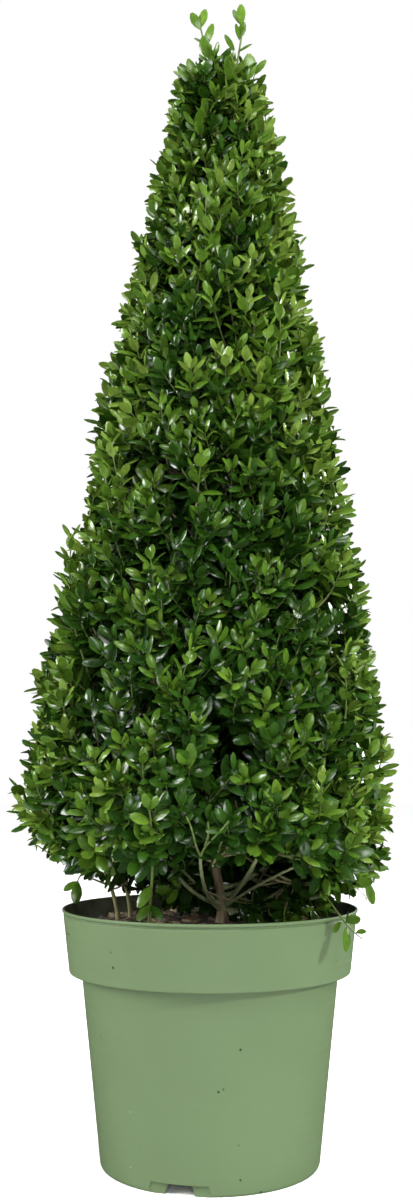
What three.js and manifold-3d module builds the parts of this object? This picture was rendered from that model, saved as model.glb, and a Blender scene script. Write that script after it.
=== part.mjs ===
// A clipped cone of small glossy evergreen leaves, growing in a green nursery pot.
// Millimetres, +Z up. The origin is the centre of the pot's flat underside, and -Y is the front.
// Azimuths are in degrees: 0 is the front, 90 the right, 180 the back and 270 the left.
import * as THREE from "three";
import { mergeVertices } from "three/addons/utils/BufferGeometryUtils.js";
import Module from "manifold-3d";

// Pot
const POT_HEIGHT = 197;
const RIM_RADIUS = 120;
const LIP_HEIGHT = 3.6;
const LIP_PROUD = 0.9;
const BAND_FOOT_Z = 144;
const BAND_FOOT_RADIUS = 113.4;
const BAND_ROUNDING = 2.2;
const SHOULDER_Z = 136;
const BODY_TOP_RADIUS = 103.6;
const FOOT_RADIUS = 87;
const FOOT_CHAMFER = 1.5;
const WALL = 2.2;
const FOOT_RING = 4.4;
const FLOOR_RAISE = 9;
const FLOOR_THICKNESS = 2.5;
const HUB_RADIUS = 16;
const UNDERSIDE_DRAFT = 1;
const POT_SIDES = 48;

// Drain slots: a shallow recess in the foot with a hole through its middle
const SLOT_COUNT = 3;
const SLOT_AZIMUTH = -17;
const SLOT_WIDTH = 51;
const SLOT_HOLE_WIDTH = 21;
const SLOT_HEIGHT = 8;
const SLOT_SLANT = 4;
const SLOT_RECESS = 2.2;
const SLOT_HOLE_DEPTH = 13;
const SLOT_OVERSHOOT = 5;

// Potting mix
const SOIL_Z = 185;
const SOIL_EDGE_WIDTH = 6;
const SOIL_EDGE_DROP = 2;
const SOIL_SIDES = POT_SIDES / 2;

// Clipped outline of the crown
const CROWN_TOP_Z = 940;
const CROWN_TOP_RADIUS = 38;
const SKIRT_WIDEST_Z = 270;
const SKIRT_RADIUS = 157;
const SKIRT_LOW_Z = 214;
const SKIRT_LOW_RADIUS = 118;
const OUTLINE_BULGE = 7;
const AXIS_LEAN = 0.02;
const AXIS_UPRIGHT_Z = 500;

// Trunk and limbs
const TRUNK_FOOT_X = 10;
const TRUNK_TOP_Z = 750;
const TRUNK_RADIUS = 3.9;
const TRUNK_TIP_RADIUS = 1.8;
const ROOT_FLARE = 2.6;
const ROOT_FLARE_HEIGHT = 7;
const FOOT_SWEEP_HEIGHT = 60;
const TRUNK_SIDES = 7;
const TRUNK_STEPS = 18;
const LIMB_RADIUS = 2.1;
const LIMB_TAPER = 0.75;
const LIMB_SIDES = 6;
const LIMB_STEPS = 5;
const LIMB_LEVEL_SHARE = 0.4;
const SIDE_STEM_UPRIGHT_SHARE = 0.35;
const SEAT_GAP = 0.3;

// Leaf masses: nested tiers, each parted into sectors
const TIER_SLOPE = 0.6;
const CORE_DEPTH = 32;
const CORE_SIDES = 20;
const SKIRT_CORE_Z = 240;
const MASS_GAP = 1.6;
const TRUNK_HOLE = 12;
const STEM_RADIUS = 2;
const STEM_TAPER = 0.7;
const STEM_SIDES = 5;
const STEM_STEPS = 6;
const STEM_REACH = 0.5;
const STEM_RISE_SHARE = 0.6;
const STEM_FOOT_SHARE = 0.25;
const STEM_LEAFY_SHARES = [0.4, 0.97];
const SEAM_LAP = 22;

// Twigs, and leaves drawn about twice life size so that far fewer of them cover the crown
const TWIG_RADIUS = 1.9;
const TWIG_FOOT_SCALE = 1.15;
const TWIG_TIP_SCALE = 0.8;
const TWIG_LENGTH = 44;
const TWIG_SHARES = [0, 0.35, 0.65, 1];
const TWIG_FRAMES = 40;
const TWIG_TEST_POINTS = 12;
const TIP_DEPTH = 19;
const SHOOT_RISE = 38;
const SKIRT_DROOP = -14;
const DROOP_END_Z = 320;
const CAP_RISE = 72;
const CAP_SHARE = 0.02;
const SHOOT_COUNT = 128;
const GOLDEN_ANGLE = 137.508;
const SHOOT_TRIES = 8;
const CLIMB_JITTER = 18;
const TURN_JITTER = 30;
const FACE_MARGIN_LOW = 12;
const FACE_MARGIN_TOP = 4;
const NODE_LENGTH = 2.2;
const LEAF_LENGTH = 41;
const LEAF_WIDTH = 22;
const LEAF_THICKNESS = 1.1;
const LEAF_WIDEST = 0.55;
const LEAF_TIP_WIDTH = 0.42;
const LEAF_ARCH = 0.1;
const LEAF_SIZES = [0.88, 1.1];
const LEAF_TRIES = 9;
const LEAF_SWING = 0.22;
const LEAF_FOLD = 2;
const LEAF_SHRINK = 0.035;
const LEAF_PROUD = 5;
const LEAF_GAP = 0.4;
const SMALL_LEAF = 0.56;
const SPRIG_LEAD_SHARE = 0.3;
const SPRIG_SEEDS = { front: 900, overRim: 901 };

// Leaf pairs along a twig, by their share of its length and their spread from it in degrees
const shootPairs = [[0.82, 76], [0.95, 52]];
const leaderPairs = [[0.66, 62], [0.8, 54], [0.94, 36]];
const sprigPairs = [[0.35, 62], [0.65, 55], [0.94, 46]];

// Tiers from the skirt up, by the height where each meets the clipped face and its first sector's azimuth
const skirtSectors = ["front_right", "right", "back", "left", "front_left"];
const tiers = [
  { name: "foliage_lower", top: 560, turn: 36, sectors: skirtSectors },
  { name: "foliage_upper", top: 800, turn: 62, sectors: ["right", "back", "left"] },
  { name: "foliage_top", top: CROWN_TOP_Z, turn: 0, sectors: [""] },
];

// Boughs from the trunk's fork to the lowest masses, with their heights at the trunk and at the tip
const boughs = [
  { name: "bough_front_left", feeds: "front_left", azimuth: 312, fork: 200, reach: 40, tip: 234 },
  { name: "bough_front_right", feeds: "front_right", azimuth: 52, fork: 206, reach: 52, tip: 234 },
  { name: "bough_right", feeds: "right", azimuth: 103, fork: 212, reach: 60, tip: 234 },
  { name: "bough_back", feeds: "back", azimuth: 178, fork: 203, reach: 50, tip: 234 },
];

// Thinner stems that rise from the potting mix on their own, by their foot and tip
const sideStems = [
  { name: "stem_left_outer", feeds: "left", foot: [-76, 16], tip: [-92, 10, 234] },
  { name: "stem_left_inner", foot: [-66, 24], tip: [-80, 26, SKIRT_CORE_Z - 1] },
];

// Loose sprigs clear of the crown: one stands in the potting mix, one hangs over the rim from its own limb
const frontShoot = { foot: [-47, -62], bend: [-52, -62, 212], tip: [-48, -64, 228] };
const trailing = { azimuth: 62, fork: 194.5, tip: [92, -50, 212] };
const overRim = { bend: [120, -72, 212], tip: [124, -76, 174] };

// The two soft shoots that stand above the clipped top, by their feet, bends and tips
const topShoots = [
  [[3, -4, 890], [-1, -4, 940], [-3, -4, 972]],
  [[21, 2, 890], [29, 2, 940], [32, 2, 982]],
];

const wasm = await Module();
wasm.setup();

const finishes = {
  pot: { color: 0x86a077, roughness: 0.5, metalness: 0 },
  soil: { color: 0x3a2a20, roughness: 0.95, metalness: 0 },
  bark: { color: 0x7d6a4c, roughness: 0.85, metalness: 0 },
  leaf: { color: 0x2f5a22, roughness: 0.42, metalness: 0 },
  shoot: { color: 0x557f33, roughness: 0.45, metalness: 0 },
};

const { clamp, lerp, smoothstep, degToRad } = THREE.MathUtils;
const vector = (x, y, z) => new THREE.Vector3(x, y, z);
const upward = vector(0, 0, 1);

// Solids

function toSolid(geometry) {
  geometry.deleteAttribute("normal");
  geometry.deleteAttribute("uv");
  const merged = mergeVertices(geometry, 1e-4);
  return new wasm.Manifold(
    new wasm.Mesh({
      numProp: 3,
      vertProperties: merged.getAttribute("position").array,
      triVerts: new Uint32Array(merged.index.array),
    }),
  );
}

function toGeometry(solid) {
  const { vertProperties, triVerts } = solid.getMesh();
  return new THREE.BufferGeometry()
    .setAttribute("position", new THREE.BufferAttribute(vertProperties, 3))
    .setIndex(new THREE.BufferAttribute(triVerts, 1));
}

// The union of many solids as one body: sealed hollows are filled and loose scraps dropped.
function fuse(solids) {
  const bodies = wasm.Manifold.union(solids).decompose();
  return bodies.reduce((most, body) => (body.volume() > most.volume() ? body : most));
}

function lathe(profile, sides) {
  const points = profile.map(([radius, z]) => new THREE.Vector2(radius, z));
  return new THREE.LatheGeometry(points, sides).rotateX(Math.PI / 2);
}

// A round limb along a curve, closed at both ends, whose radius follows radiusAt(share of its length).
function limb(curve, radiusAt, sides, steps) {
  const tube = new THREE.CylinderGeometry(1, 1, 1, sides, steps);
  const { normals, binormals } = curve.computeFrenetFrames(steps, false);
  const place = tube.getAttribute("position");
  for (let i = 0; i < place.count; i++) {
    const share = place.getY(i) + 0.5;
    const step = Math.round(share * steps);
    const point = curve
      .getPointAt(share)
      .addScaledVector(normals[step], place.getX(i) * radiusAt(share))
      .addScaledVector(binormals[step], -place.getZ(i) * radiusAt(share));
    place.setXYZ(i, point.x, point.y, point.z);
  }
  return tube;
}

// Pot and potting mix

const bandTopRadius = RIM_RADIUS - LIP_PROUD;
const floorTop = FLOOR_RAISE + FLOOR_THICKNESS;
const bodyRadius = (z) => lerp(FOOT_RADIUS, BODY_TOP_RADIUS, z / SHOULDER_Z);

function potInside(clear) {
  return [
    [bodyRadius(floorTop) - WALL - clear, floorTop + clear],
    [BODY_TOP_RADIUS - WALL - clear, SHOULDER_Z + WALL],
    [BAND_FOOT_RADIUS - WALL - clear, BAND_FOOT_Z + WALL],
    [RIM_RADIUS - WALL - clear, POT_HEIGHT],
  ];
}

function drainCutter(width, innerRadius) {
  const half = width / 2;
  const outline = new THREE.Shape([
    new THREE.Vector2(-half, -SLOT_OVERSHOOT),
    new THREE.Vector2(half, -SLOT_OVERSHOOT),
    new THREE.Vector2(half - SLOT_SLANT, SLOT_HEIGHT),
    new THREE.Vector2(-half + SLOT_SLANT, SLOT_HEIGHT),
  ]);
  const depth = FOOT_RADIUS + SLOT_OVERSHOOT - innerRadius;
  return new THREE.ExtrudeGeometry(outline, { depth, bevelEnabled: false })
    .rotateX(Math.PI / 2)
    .translate(0, -innerRadius, 0);
}

function makePot() {
  const underside = [
    [0, 0],
    [HUB_RADIUS, 0],
    [HUB_RADIUS + UNDERSIDE_DRAFT, FLOOR_RAISE],
    [FOOT_RADIUS - FOOT_RING - UNDERSIDE_DRAFT, FLOOR_RAISE],
    [FOOT_RADIUS - FOOT_RING, 0],
    [FOOT_RADIUS - FOOT_CHAMFER, 0],
    [FOOT_RADIUS, FOOT_CHAMFER],
  ];
  const outside = [
    [BODY_TOP_RADIUS, SHOULDER_Z],
    [BAND_FOOT_RADIUS - BAND_ROUNDING, BAND_FOOT_Z - 2 * BAND_ROUNDING],
    [BAND_FOOT_RADIUS, BAND_FOOT_Z],
    [bandTopRadius, POT_HEIGHT - LIP_HEIGHT - LIP_PROUD],
    [RIM_RADIUS, POT_HEIGHT - LIP_HEIGHT],
    [RIM_RADIUS, POT_HEIGHT],
  ];
  const inside = [...potInside(0).reverse(), [0, floorTop]];
  let pot = toSolid(lathe([...underside, ...outside, ...inside], POT_SIDES));
  for (let i = 0; i < SLOT_COUNT; i++) {
    const turn = degToRad(SLOT_AZIMUTH + (i * 360) / SLOT_COUNT);
    for (const [width, innerRadius] of [
      [SLOT_WIDTH, FOOT_RADIUS - SLOT_RECESS],
      [SLOT_HOLE_WIDTH, FOOT_RADIUS - SLOT_HOLE_DEPTH],
    ])
      pot = pot.subtract(toSolid(drainCutter(width, innerRadius).rotateZ(turn)));
  }
  return toGeometry(pot);
}

function makeSoil() {
  const side = potInside(SEAT_GAP).slice(0, 3);
  const rimShare = (SOIL_Z - BAND_FOOT_Z) / (POT_HEIGHT - BAND_FOOT_Z);
  const topRadius = lerp(BAND_FOOT_RADIUS, RIM_RADIUS, rimShare) - WALL - 2 * SEAT_GAP;
  const bottom = [0, side[0][1]];
  const edge = [topRadius, SOIL_Z - SOIL_EDGE_DROP];
  const flat = [topRadius - SOIL_EDGE_WIDTH, SOIL_Z];
  return lathe([bottom, ...side, edge, flat, [0, SOIL_Z]], SOIL_SIDES);
}

// Outline of the crown

const axisX = (z) => AXIS_LEAN * (z - AXIS_UPRIGHT_Z);

function clipRadius(z) {
  if (z < SKIRT_WIDEST_Z) {
    const down = Math.min(1, (SKIRT_WIDEST_Z - z) / (SKIRT_WIDEST_Z - SKIRT_LOW_Z));
    return lerp(SKIRT_LOW_RADIUS, SKIRT_RADIUS, Math.sqrt(1 - down * down));
  }
  const down = (CROWN_TOP_Z - z) / (CROWN_TOP_Z - SKIRT_WIDEST_Z);
  return lerp(CROWN_TOP_RADIUS, SKIRT_RADIUS, down) + OUTLINE_BULGE * Math.sin(Math.PI * Math.max(0, down));
}

// Leans an upright shape along with the crown's axis.
function leaning(geometry) {
  const shear = new THREE.Matrix4().makeShear(0, 0, 0, 0, AXIS_LEAN, 0);
  return geometry.applyMatrix4(shear).translate(axisX(0), 0, 0);
}

function outward(azimuth) {
  const turn = degToRad(azimuth);
  return vector(Math.sin(turn), -Math.cos(turn), 0);
}

const onCrown = (azimuth, radius, z) => outward(azimuth).multiplyScalar(radius).add(vector(axisX(z), 0, z));

// Trunk, boughs and stems

// The trunk's middle line. Its steps crowd towards the foot, where it sweeps and flares.
class TrunkLine extends THREE.Curve {
  getPoint(share, point = vector(0, 0, 0)) {
    const z = lerp(SOIL_Z + SEAT_GAP, TRUNK_TOP_Z, share * share);
    return point.set(trunkX(z), 0, z);
  }

  getUtoTmapping(share) {
    return share;
  }
}

function trunkX(z) {
  const risen = z - SOIL_Z;
  return axisX(z) + (TRUNK_FOOT_X - axisX(SOIL_Z)) * Math.exp(-((risen / FOOT_SWEEP_HEIGHT) ** 2));
}

function trunkRadius(z) {
  const risen = z - SOIL_Z;
  const share = risen / (TRUNK_TOP_Z - SOIL_Z);
  return lerp(TRUNK_RADIUS, TRUNK_TIP_RADIUS, share) + ROOT_FLARE * Math.exp(-risen / ROOT_FLARE_HEIGHT);
}

function makeTrunk() {
  const line = new TrunkLine();
  return limb(line, (share) => trunkRadius(line.getPointAt(share).z), TRUNK_SIDES, TRUNK_STEPS);
}

// The point on the trunk's skin, a seat's gap clear of it, where a limb leaves towards an azimuth.
function onTrunk(azimuth, z) {
  return outward(azimuth)
    .multiplyScalar(trunkRadius(z) + SEAT_GAP + LIMB_RADIUS * Math.abs(trunkX(z + 1) - trunkX(z)))
    .add(vector(trunkX(z), 0, z));
}

// A limb's line leaves the trunk level and then rises to its tip.
function boughLine(azimuth, fork, tip) {
  const foot = onTrunk(azimuth, fork);
  const level = foot.clone().addScaledVector(outward(azimuth), LIMB_LEVEL_SHARE * foot.distanceTo(tip));
  return new THREE.QuadraticBezierCurve3(foot, level, tip);
}

function sideStemLine({ foot: [x, y], tip }) {
  const base = vector(x, y, SOIL_Z + SEAT_GAP);
  const end = vector(...tip);
  const straightUp = vector(x, y, lerp(base.z, end.z, SIDE_STEM_UPRIGHT_SHARE));
  return new THREE.QuadraticBezierCurve3(base, straightUp, end);
}

const limbTaper = (share) => LIMB_RADIUS * lerp(1, LIMB_TAPER, share);
const boughTube = (line) => limb(line, limbTaper, LIMB_SIDES, LIMB_STEPS);

// Leaves and twigs

// Where a twig stands at a share of its length: its middle, its direction and two directions across it.
function twigFrame(line, share) {
  const { tangents, normals, binormals } = line.computeFrenetFrames(TWIG_FRAMES, false);
  const step = Math.round(share * TWIG_FRAMES);
  const middle = line.getPointAt(share);
  return { middle, ahead: tangents[step], normal: normals[step], binormal: binormals[step] };
}

function twigRing(line, share) {
  const { middle, normal, binormal } = twigFrame(line, share);
  const radius = TWIG_RADIUS * lerp(TWIG_FOOT_SCALE, TWIG_TIP_SCALE, share);
  return [[1, 0], [0, 1], [-1, 0], [0, -1]].map(([n, b]) =>
    middle.clone().addScaledVector(normal, n * radius).addScaledVector(binormal, b * radius),
  );
}

// A four-sided twig as rings of corners, with a short stretch marked as a node for each leaf pair.
function bareTwig(line, pairs, leafScale) {
  const nodeShare = NODE_LENGTH / line.getLength();
  const plain = TWIG_SHARES.filter((share) => pairs.every(([node]) => Math.abs(share - node) > nodeShare));
  const rings = plain.map((share) => ({ share }));
  for (const [share, spread] of pairs) {
    rings.push({ share: share - nodeShare / 2, spread });
    rings.push({ share: share + nodeShare / 2 });
  }
  rings.sort((a, b) => a.share - b.share);
  const withCorners = rings.map((ring) => ({ ...ring, corners: twigRing(line, ring.share), leaves: [] }));
  return { line, leafScale, rings: withCorners };
}

// The four corners of one side of a twig, between a ring and the next.
function sideCorners(rings, i, side) {
  const next = (side + 1) % 4;
  const [low, high] = [rings[i].corners, rings[i + 1].corners];
  return [low[side], low[next], high[next], high[side]];
}

// A blunt oval leaf growing out of a side of its twig with its upper face to the twig's tip: the four
// corners of its widest section and the two ends of its tip. It may be swollen to test the space it needs.
function makeLeaf(root, { ahead, normal, binormal }, { roll, spread, size }, swell) {
  const side = normal.clone().multiplyScalar(Math.cos(roll)).addScaledVector(binormal, Math.sin(roll));
  const along = ahead.clone().multiplyScalar(Math.cos(spread)).addScaledVector(side, Math.sin(spread));
  const facing = ahead.clone().multiplyScalar(Math.sin(spread)).addScaledVector(side, -Math.cos(spread));
  const across = facing.clone().cross(along);
  const foot = root.reduce((sum, corner) => sum.add(corner), vector(0, 0, 0)).divideScalar(4);
  const length = LEAF_LENGTH * size;
  const half = (LEAF_WIDTH * size) / 2;
  const at = (forth, sideways, up) =>
    foot.clone().addScaledVector(along, forth).addScaledVector(across, sideways).addScaledVector(facing, up);
  const lift = LEAF_ARCH * length;
  const thick = LEAF_THICKNESS / 2 + swell;
  const widest = [[-1, -1], [1, -1], [1, 1], [-1, 1]].map(([a, f]) =>
    at(LEAF_WIDEST * length, a * (half + swell), lift + f * thick),
  );
  const tip = [-1, 1].map((a) => at(length + swell, a * (LEAF_TIP_WIDTH * half + swell), 0));
  return [...widest, ...tip];
}

// Triangles of a leaf, from the four corners of its root past its widest section to its tip's two ends.
function leafTriangles(root, [a, b, c, d, tipLeft, tipRight]) {
  const widest = [a, b, c, d];
  const base = [0, 1, 2, 3].flatMap((i) => {
    const next = (i + 1) % 4;
    return quad([root[i], root[next], widest[next], widest[i]]);
  });
  const faces = [...quad([a, b, tipRight, tipLeft]), ...quad([c, d, tipLeft, tipRight])];
  const edges = [b, c, tipRight, d, a, tipLeft];
  return [...base, ...faces, ...edges];
}

const quad = ([a, b, c, d]) => [a, b, c, a, c, d];
const shell = (points) => toSolid(new THREE.BufferGeometry().setFromPoints(points));
const leafSolid = (root, leaf) => shell([...leafTriangles(root, leaf), ...quad([...root].reverse())]);

function twigSolid({ rings }) {
  const points = [...quad([...rings[0].corners].reverse()), ...quad(rings.at(-1).corners)];
  for (let i = 0; i + 1 < rings.length; i++)
    for (let side = 0; side < 4; side++) {
      const root = sideCorners(rings, i, side);
      const leaf = rings[i].leaves[side];
      points.push(...(leaf ? leafTriangles(root, leaf) : quad(root)));
    }
  return shell(points);
}

// Everything that a new leaf has to keep clear of, each with the twig that it belongs to, if any.
const obstacles = [];

function addObstacle(solid, twig) {
  obstacles.push({ solid, twig, box: solid.boundingBox() });
}

function isClear(solid, twig) {
  const { min, max } = solid.boundingBox();
  const meets = (box) => [0, 1, 2].every((i) => min[i] < box.max[i] && box.min[i] < max[i]);
  return !obstacles.some(
    (other) => other.twig !== twig && meets(other.box) && !solid.intersect(other.solid).isEmpty(),
  );
}

// Grows opposite pairs of leaves from a twig's nodes. A leaf that leaves its space or meets a neighbour
// is turned and shortened a few times, and is then left out.
function growLeaves(twig, random, fits) {
  const nodes = twig.rings.filter((ring) => ring.spread);
  nodes.forEach((ring, order) => {
    const frame = twigFrame(twig.line, ring.share);
    for (const side of [order % 2, (order % 2) + 2]) {
      const root = sideCorners(twig.rings, twig.rings.indexOf(ring), side);
      const size = twig.leafScale * lerp(...LEAF_SIZES, random());
      for (let attempt = 0; attempt < LEAF_TRIES && !ring.leaves[side]; attempt++) {
        const swing = Math.ceil(attempt / 2) * (attempt % 2 ? LEAF_SWING : -LEAF_SWING);
        const aim = {
          roll: Math.PI * (0.25 + 0.5 * side) + swing,
          spread: degToRad(ring.spread - LEAF_FOLD * attempt),
          size: size * (1 - LEAF_SHRINK * attempt),
        };
        const leaf = makeLeaf(root, frame, aim, 0);
        if (!fits(leaf)) continue;
        const needed = leafSolid(root, makeLeaf(root, frame, aim, LEAF_GAP));
        if (!isClear(needed, twig)) continue;
        ring.leaves[side] = leaf;
        addObstacle(needed);
      }
    }
  });
}

// Spaces of the leaf masses

// Height of the surface between two tiers: a funnel that meets the clipped face at faceZ.
const tierSurface = (faceZ, radius) => faceZ - TIER_SLOPE * (clipRadius(faceZ) - radius);

function massesOf(tier, index) {
  const width = 360 / tier.sectors.length;
  return tier.sectors.map((sector, i) => ({
    name: sector ? `${tier.name}_${sector}` : tier.name,
    sector,
    low: index ? tiers[index - 1].top : SKIRT_LOW_Z,
    top: tier.top,
    azimuth: tier.turn + i * width,
    halfWidth: width / 2,
    isSkirt: index === 0,
    isTop: index === tiers.length - 1,
    random: seeded(100 * (index + 1) + i),
  }));
}

// How far a point lies inside the seams round its mass, in millimetres; below nothing it is outside.
function seamRoom(mass, point) {
  const x = point.x - axisX(point.z);
  const radius = Math.hypot(x, point.y);
  const centre = outward(mass.azimuth);
  const forward = x * centre.x + point.y * centre.y;
  const sideways = Math.abs(x * centre.y - point.y * centre.x);
  const half = degToRad(mass.halfWidth);
  const toSide = mass.halfWidth < 180 ? forward * Math.sin(half) - sideways * Math.cos(half) : Infinity;
  const toFloor = mass.isSkirt ? Infinity : point.z - tierSurface(mass.low, radius);
  const toRoof = mass.isTop ? Infinity : tierSurface(mass.top, radius) - point.z;
  return Math.min(toSide, toFloor, toRoof) - MASS_GAP / 2;
}

// How far a point lies inside the clipped crown, and outside the trunk's way through it.
function crownRoom(mass, point) {
  const radius = Math.hypot(point.x - axisX(point.z), point.y);
  return Math.min(
    clipRadius(point.z) + LEAF_PROUD - radius,
    point.z - SKIRT_LOW_Z,
    CROWN_TOP_Z + 2 * LEAF_PROUD - point.z,
    mass.isTop ? Infinity : radius - TRUNK_HOLE,
  );
}

// The solid heart of a mass, well inside its clipped face.
function massCore(mass) {
  const lowZ = mass.isSkirt ? SKIRT_CORE_Z : mass.low;
  const highZ = mass.isTop ? mass.top - CORE_DEPTH : mass.top;
  const inner = mass.isTop ? 0 : TRUNK_HOLE;
  const floor = (radius) => (mass.isSkirt ? SKIRT_CORE_Z : tierSurface(mass.low, radius) + MASS_GAP / 2);
  const roof = (radius) => (mass.isTop ? highZ : tierSurface(mass.top, radius) - MASS_GAP / 2);
  const coreRadius = (z) => clipRadius(z) - CORE_DEPTH;
  const face = [0, 0.5, 1].map((share) => coreRadius(lerp(lowZ, highZ, share)));
  const outline = [
    [inner, floor(inner)],
    [face[0], floor(face[0])],
    [face[1], lerp(floor(face[0]), roof(face[2]), 0.5)],
    [face[2], roof(face[2])],
    [inner, roof(inner)],
  ];
  const closed = mass.isTop ? outline : [...outline, outline[0]];
  const core = toSolid(leaning(lathe(closed, CORE_SIDES)));
  return mass.halfWidth < 180 ? core.intersect(sectorPrism(mass)) : core;
}

// A tall prism over a mass's sector, half a gap short of the sector's two sides.
function sectorPrism(mass) {
  const half = degToRad(mass.halfWidth);
  const far = 3 * SKIRT_RADIUS;
  const apex = MASS_GAP / 2 / Math.sin(half);
  const rim = [-1, -0.5, 0, 0.5, 1].map((share) => {
    const turn = share * half;
    return new THREE.Vector2(far * Math.sin(turn), -far * Math.cos(turn));
  });
  const pie = new THREE.Shape([new THREE.Vector2(0, 0), ...rim]);
  const prism = new THREE.ExtrudeGeometry(pie, { depth: CROWN_TOP_Z, bevelEnabled: false });
  return toSolid(leaning(prism.translate(0, -apex, 0).rotateZ(degToRad(mass.azimuth))));
}

// Growth of the leaf masses

// Where a mass's stem starts: at the tip of the limb that feeds it, or on the trunk's side or tip.
function stemFoot(mass, feeders) {
  const feeder = mass.isSkirt && feeders.get(mass.sector);
  if (feeder) {
    const along = feeder.getTangentAt(1);
    return { foot: feeder.getPointAt(1).addScaledVector(along, SEAT_GAP), along };
  }
  if (mass.isTop) return { foot: vector(trunkX(TRUNK_TOP_Z), 0, TRUNK_TOP_Z + SEAT_GAP), along: upward };
  const z = lerp(tierSurface(mass.low, TRUNK_HOLE), tierSurface(mass.top, TRUNK_HOLE), STEM_FOOT_SHARE);
  return { foot: onTrunk(mass.azimuth, z), along: outward(mass.azimuth) };
}

function stemLine(mass, feeders) {
  const { foot, along } = stemFoot(mass, feeders);
  const endZ = lerp(mass.low, mass.top, STEM_RISE_SHARE);
  const end = onCrown(mass.azimuth, mass.isTop ? 0 : STEM_REACH * clipRadius(endZ), endZ);
  const lead = foot.clone().addScaledVector(along, LIMB_LEVEL_SHARE * foot.distanceTo(end));
  return new THREE.QuadraticBezierCurve3(foot, lead, end);
}

// The spot of a shoot's tip: a golden-angle spiral winds evenly up the clipped face and over its flat cap.
function shootSpot(k) {
  const azimuth = (GOLDEN_ANGLE * k) % 360;
  const share = (k + 0.5) / SHOOT_COUNT / (1 - CAP_SHARE);
  if (share > 1) {
    const inward = (share - 1) / CAP_SHARE;
    return { azimuth, radius: CROWN_TOP_RADIUS * Math.sqrt(1 - inward), z: CROWN_TOP_Z, rise: CAP_RISE };
  }
  const here = Math.sqrt(lerp(SKIRT_RADIUS ** 2, CROWN_TOP_RADIUS ** 2, share));
  const up = (SKIRT_RADIUS - here) / (SKIRT_RADIUS - CROWN_TOP_RADIUS);
  const z = lerp(SKIRT_LOW_Z + FACE_MARGIN_LOW, CROWN_TOP_Z - FACE_MARGIN_TOP, up);
  const settled = smoothstep(z, SKIRT_LOW_Z, DROOP_END_Z);
  return { azimuth, radius: clipRadius(z), z, rise: lerp(SKIRT_DROOP, SHOOT_RISE, settled) };
}

function ownsSpot(mass, { azimuth, z }) {
  const turn = Math.abs(((azimuth - mass.azimuth + 540) % 360) - 180);
  return turn <= mass.halfWidth && z >= mass.low && (z < mass.top || mass.isTop);
}

// A shoot's line leaves its mass's stem, bends to its own direction and ends just inside the clipped face.
function shootLine(mass, stem, { azimuth, radius, z, rise }) {
  const { random } = mass;
  const climb = degToRad(rise + CLIMB_JITTER * (random() - 0.5));
  const along = outward(azimuth + TURN_JITTER * (random() - 0.5)).multiplyScalar(Math.cos(climb));
  along.addScaledVector(upward, Math.sin(climb));
  const tip = onCrown(azimuth, radius, z).addScaledVector(along, -TIP_DEPTH);
  const bend = tip.clone().addScaledVector(along, -TWIG_LENGTH);
  const foot = stem.getPointAt(0);
  const end = stem.getPointAt(1);
  const stemShare = clamp((bend.z - foot.z) / (end.z - foot.z), ...STEM_LEAFY_SHARES);
  return new THREE.QuadraticBezierCurve3(stem.getPointAt(stemShare), bend, tip);
}

// The twigs of a mass's shoots. One that leaves its space is aimed anew a few times, and then left out.
function shootTwigs(mass, stem) {
  const room = (point) => Math.min(seamRoom(mass, point), crownRoom(mass, point));
  const fits = (point) => room(point) > TWIG_RADIUS;
  const keepsInside = (line) => line.getSpacedPoints(TWIG_TEST_POINTS).every(fits);
  const spots = Array.from({ length: SHOOT_COUNT }, (_, k) => shootSpot(k));
  const lines = spots.filter((spot) => ownsSpot(mass, spot)).map((spot) => {
    const aims = Array.from({ length: SHOOT_TRIES }, () => shootLine(mass, stem, spot));
    return aims.find(keepsInside);
  });
  return lines.filter(Boolean).map((line) => bareTwig(line, shootPairs, 1));
}

function leaderTwigs() {
  return topShoots.map((points) => {
    const line = new THREE.QuadraticBezierCurve3(...points.map((point) => vector(...point)));
    return bareTwig(line, leaderPairs, SMALL_LEAF);
  });
}

// The heart, stem and bare twigs of a mass, before any leaf grows.
function startMass(mass, feeders) {
  const stem = stemLine(mass, feeders);
  const stemTube = limb(stem, (share) => STEM_RADIUS * lerp(1, STEM_TAPER, share), STEM_SIDES, STEM_STEPS);
  const heart = [massCore(mass), toSolid(stemTube)];
  const twigs = shootTwigs(mass, stem);
  const leaders = mass.isTop ? leaderTwigs() : [];
  for (const solid of heart) addObstacle(solid);
  for (const twig of [...leaders, ...twigs]) addObstacle(twigSolid(twig), twig);
  return { mass, heart, twigs, leaders };
}

function finishMass({ mass, heart, twigs, leaders }) {
  const fits = (points) =>
    points.every((point) => crownRoom(mass, point) > 0 && seamRoom(mass, point) > -SEAM_LAP);
  for (const twig of leaders) growLeaves(twig, mass.random, () => true);
  for (const twig of twigs) growLeaves(twig, mass.random, fits);
  return toGeometry(fuse([...heart, ...[...twigs, ...leaders].map(twigSolid)]));
}

// A loose sprig: one bending twig with small leaves.
function startSprig(foot, along, { bend, tip }) {
  const lead = foot.clone().addScaledVector(along, SPRIG_LEAD_SHARE * foot.distanceTo(vector(...bend)));
  const line = new THREE.CubicBezierCurve3(foot, lead, vector(...bend), vector(...tip));
  const twig = bareTwig(line, sprigPairs, SMALL_LEAF);
  addObstacle(twigSolid(twig), twig);
  return twig;
}

function finishSprig(twig, seed) {
  growLeaves(twig, seeded(seed), () => true);
  return toGeometry(twigSolid(twig));
}

// A repeatable stream of numbers from 0 to 1 for each seed.
function seeded(seed) {
  let state = seed >>> 0;
  return () => {
    state = (state + 0x6d2b79f5) >>> 0;
    let mixed = Math.imul(state ^ (state >>> 15), state | 1);
    mixed = (mixed + Math.imul(mixed ^ (mixed >>> 7), mixed | 61)) ^ mixed;
    return ((mixed ^ (mixed >>> 14)) >>> 0) / 4294967296;
  };
}

// Assembly

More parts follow.
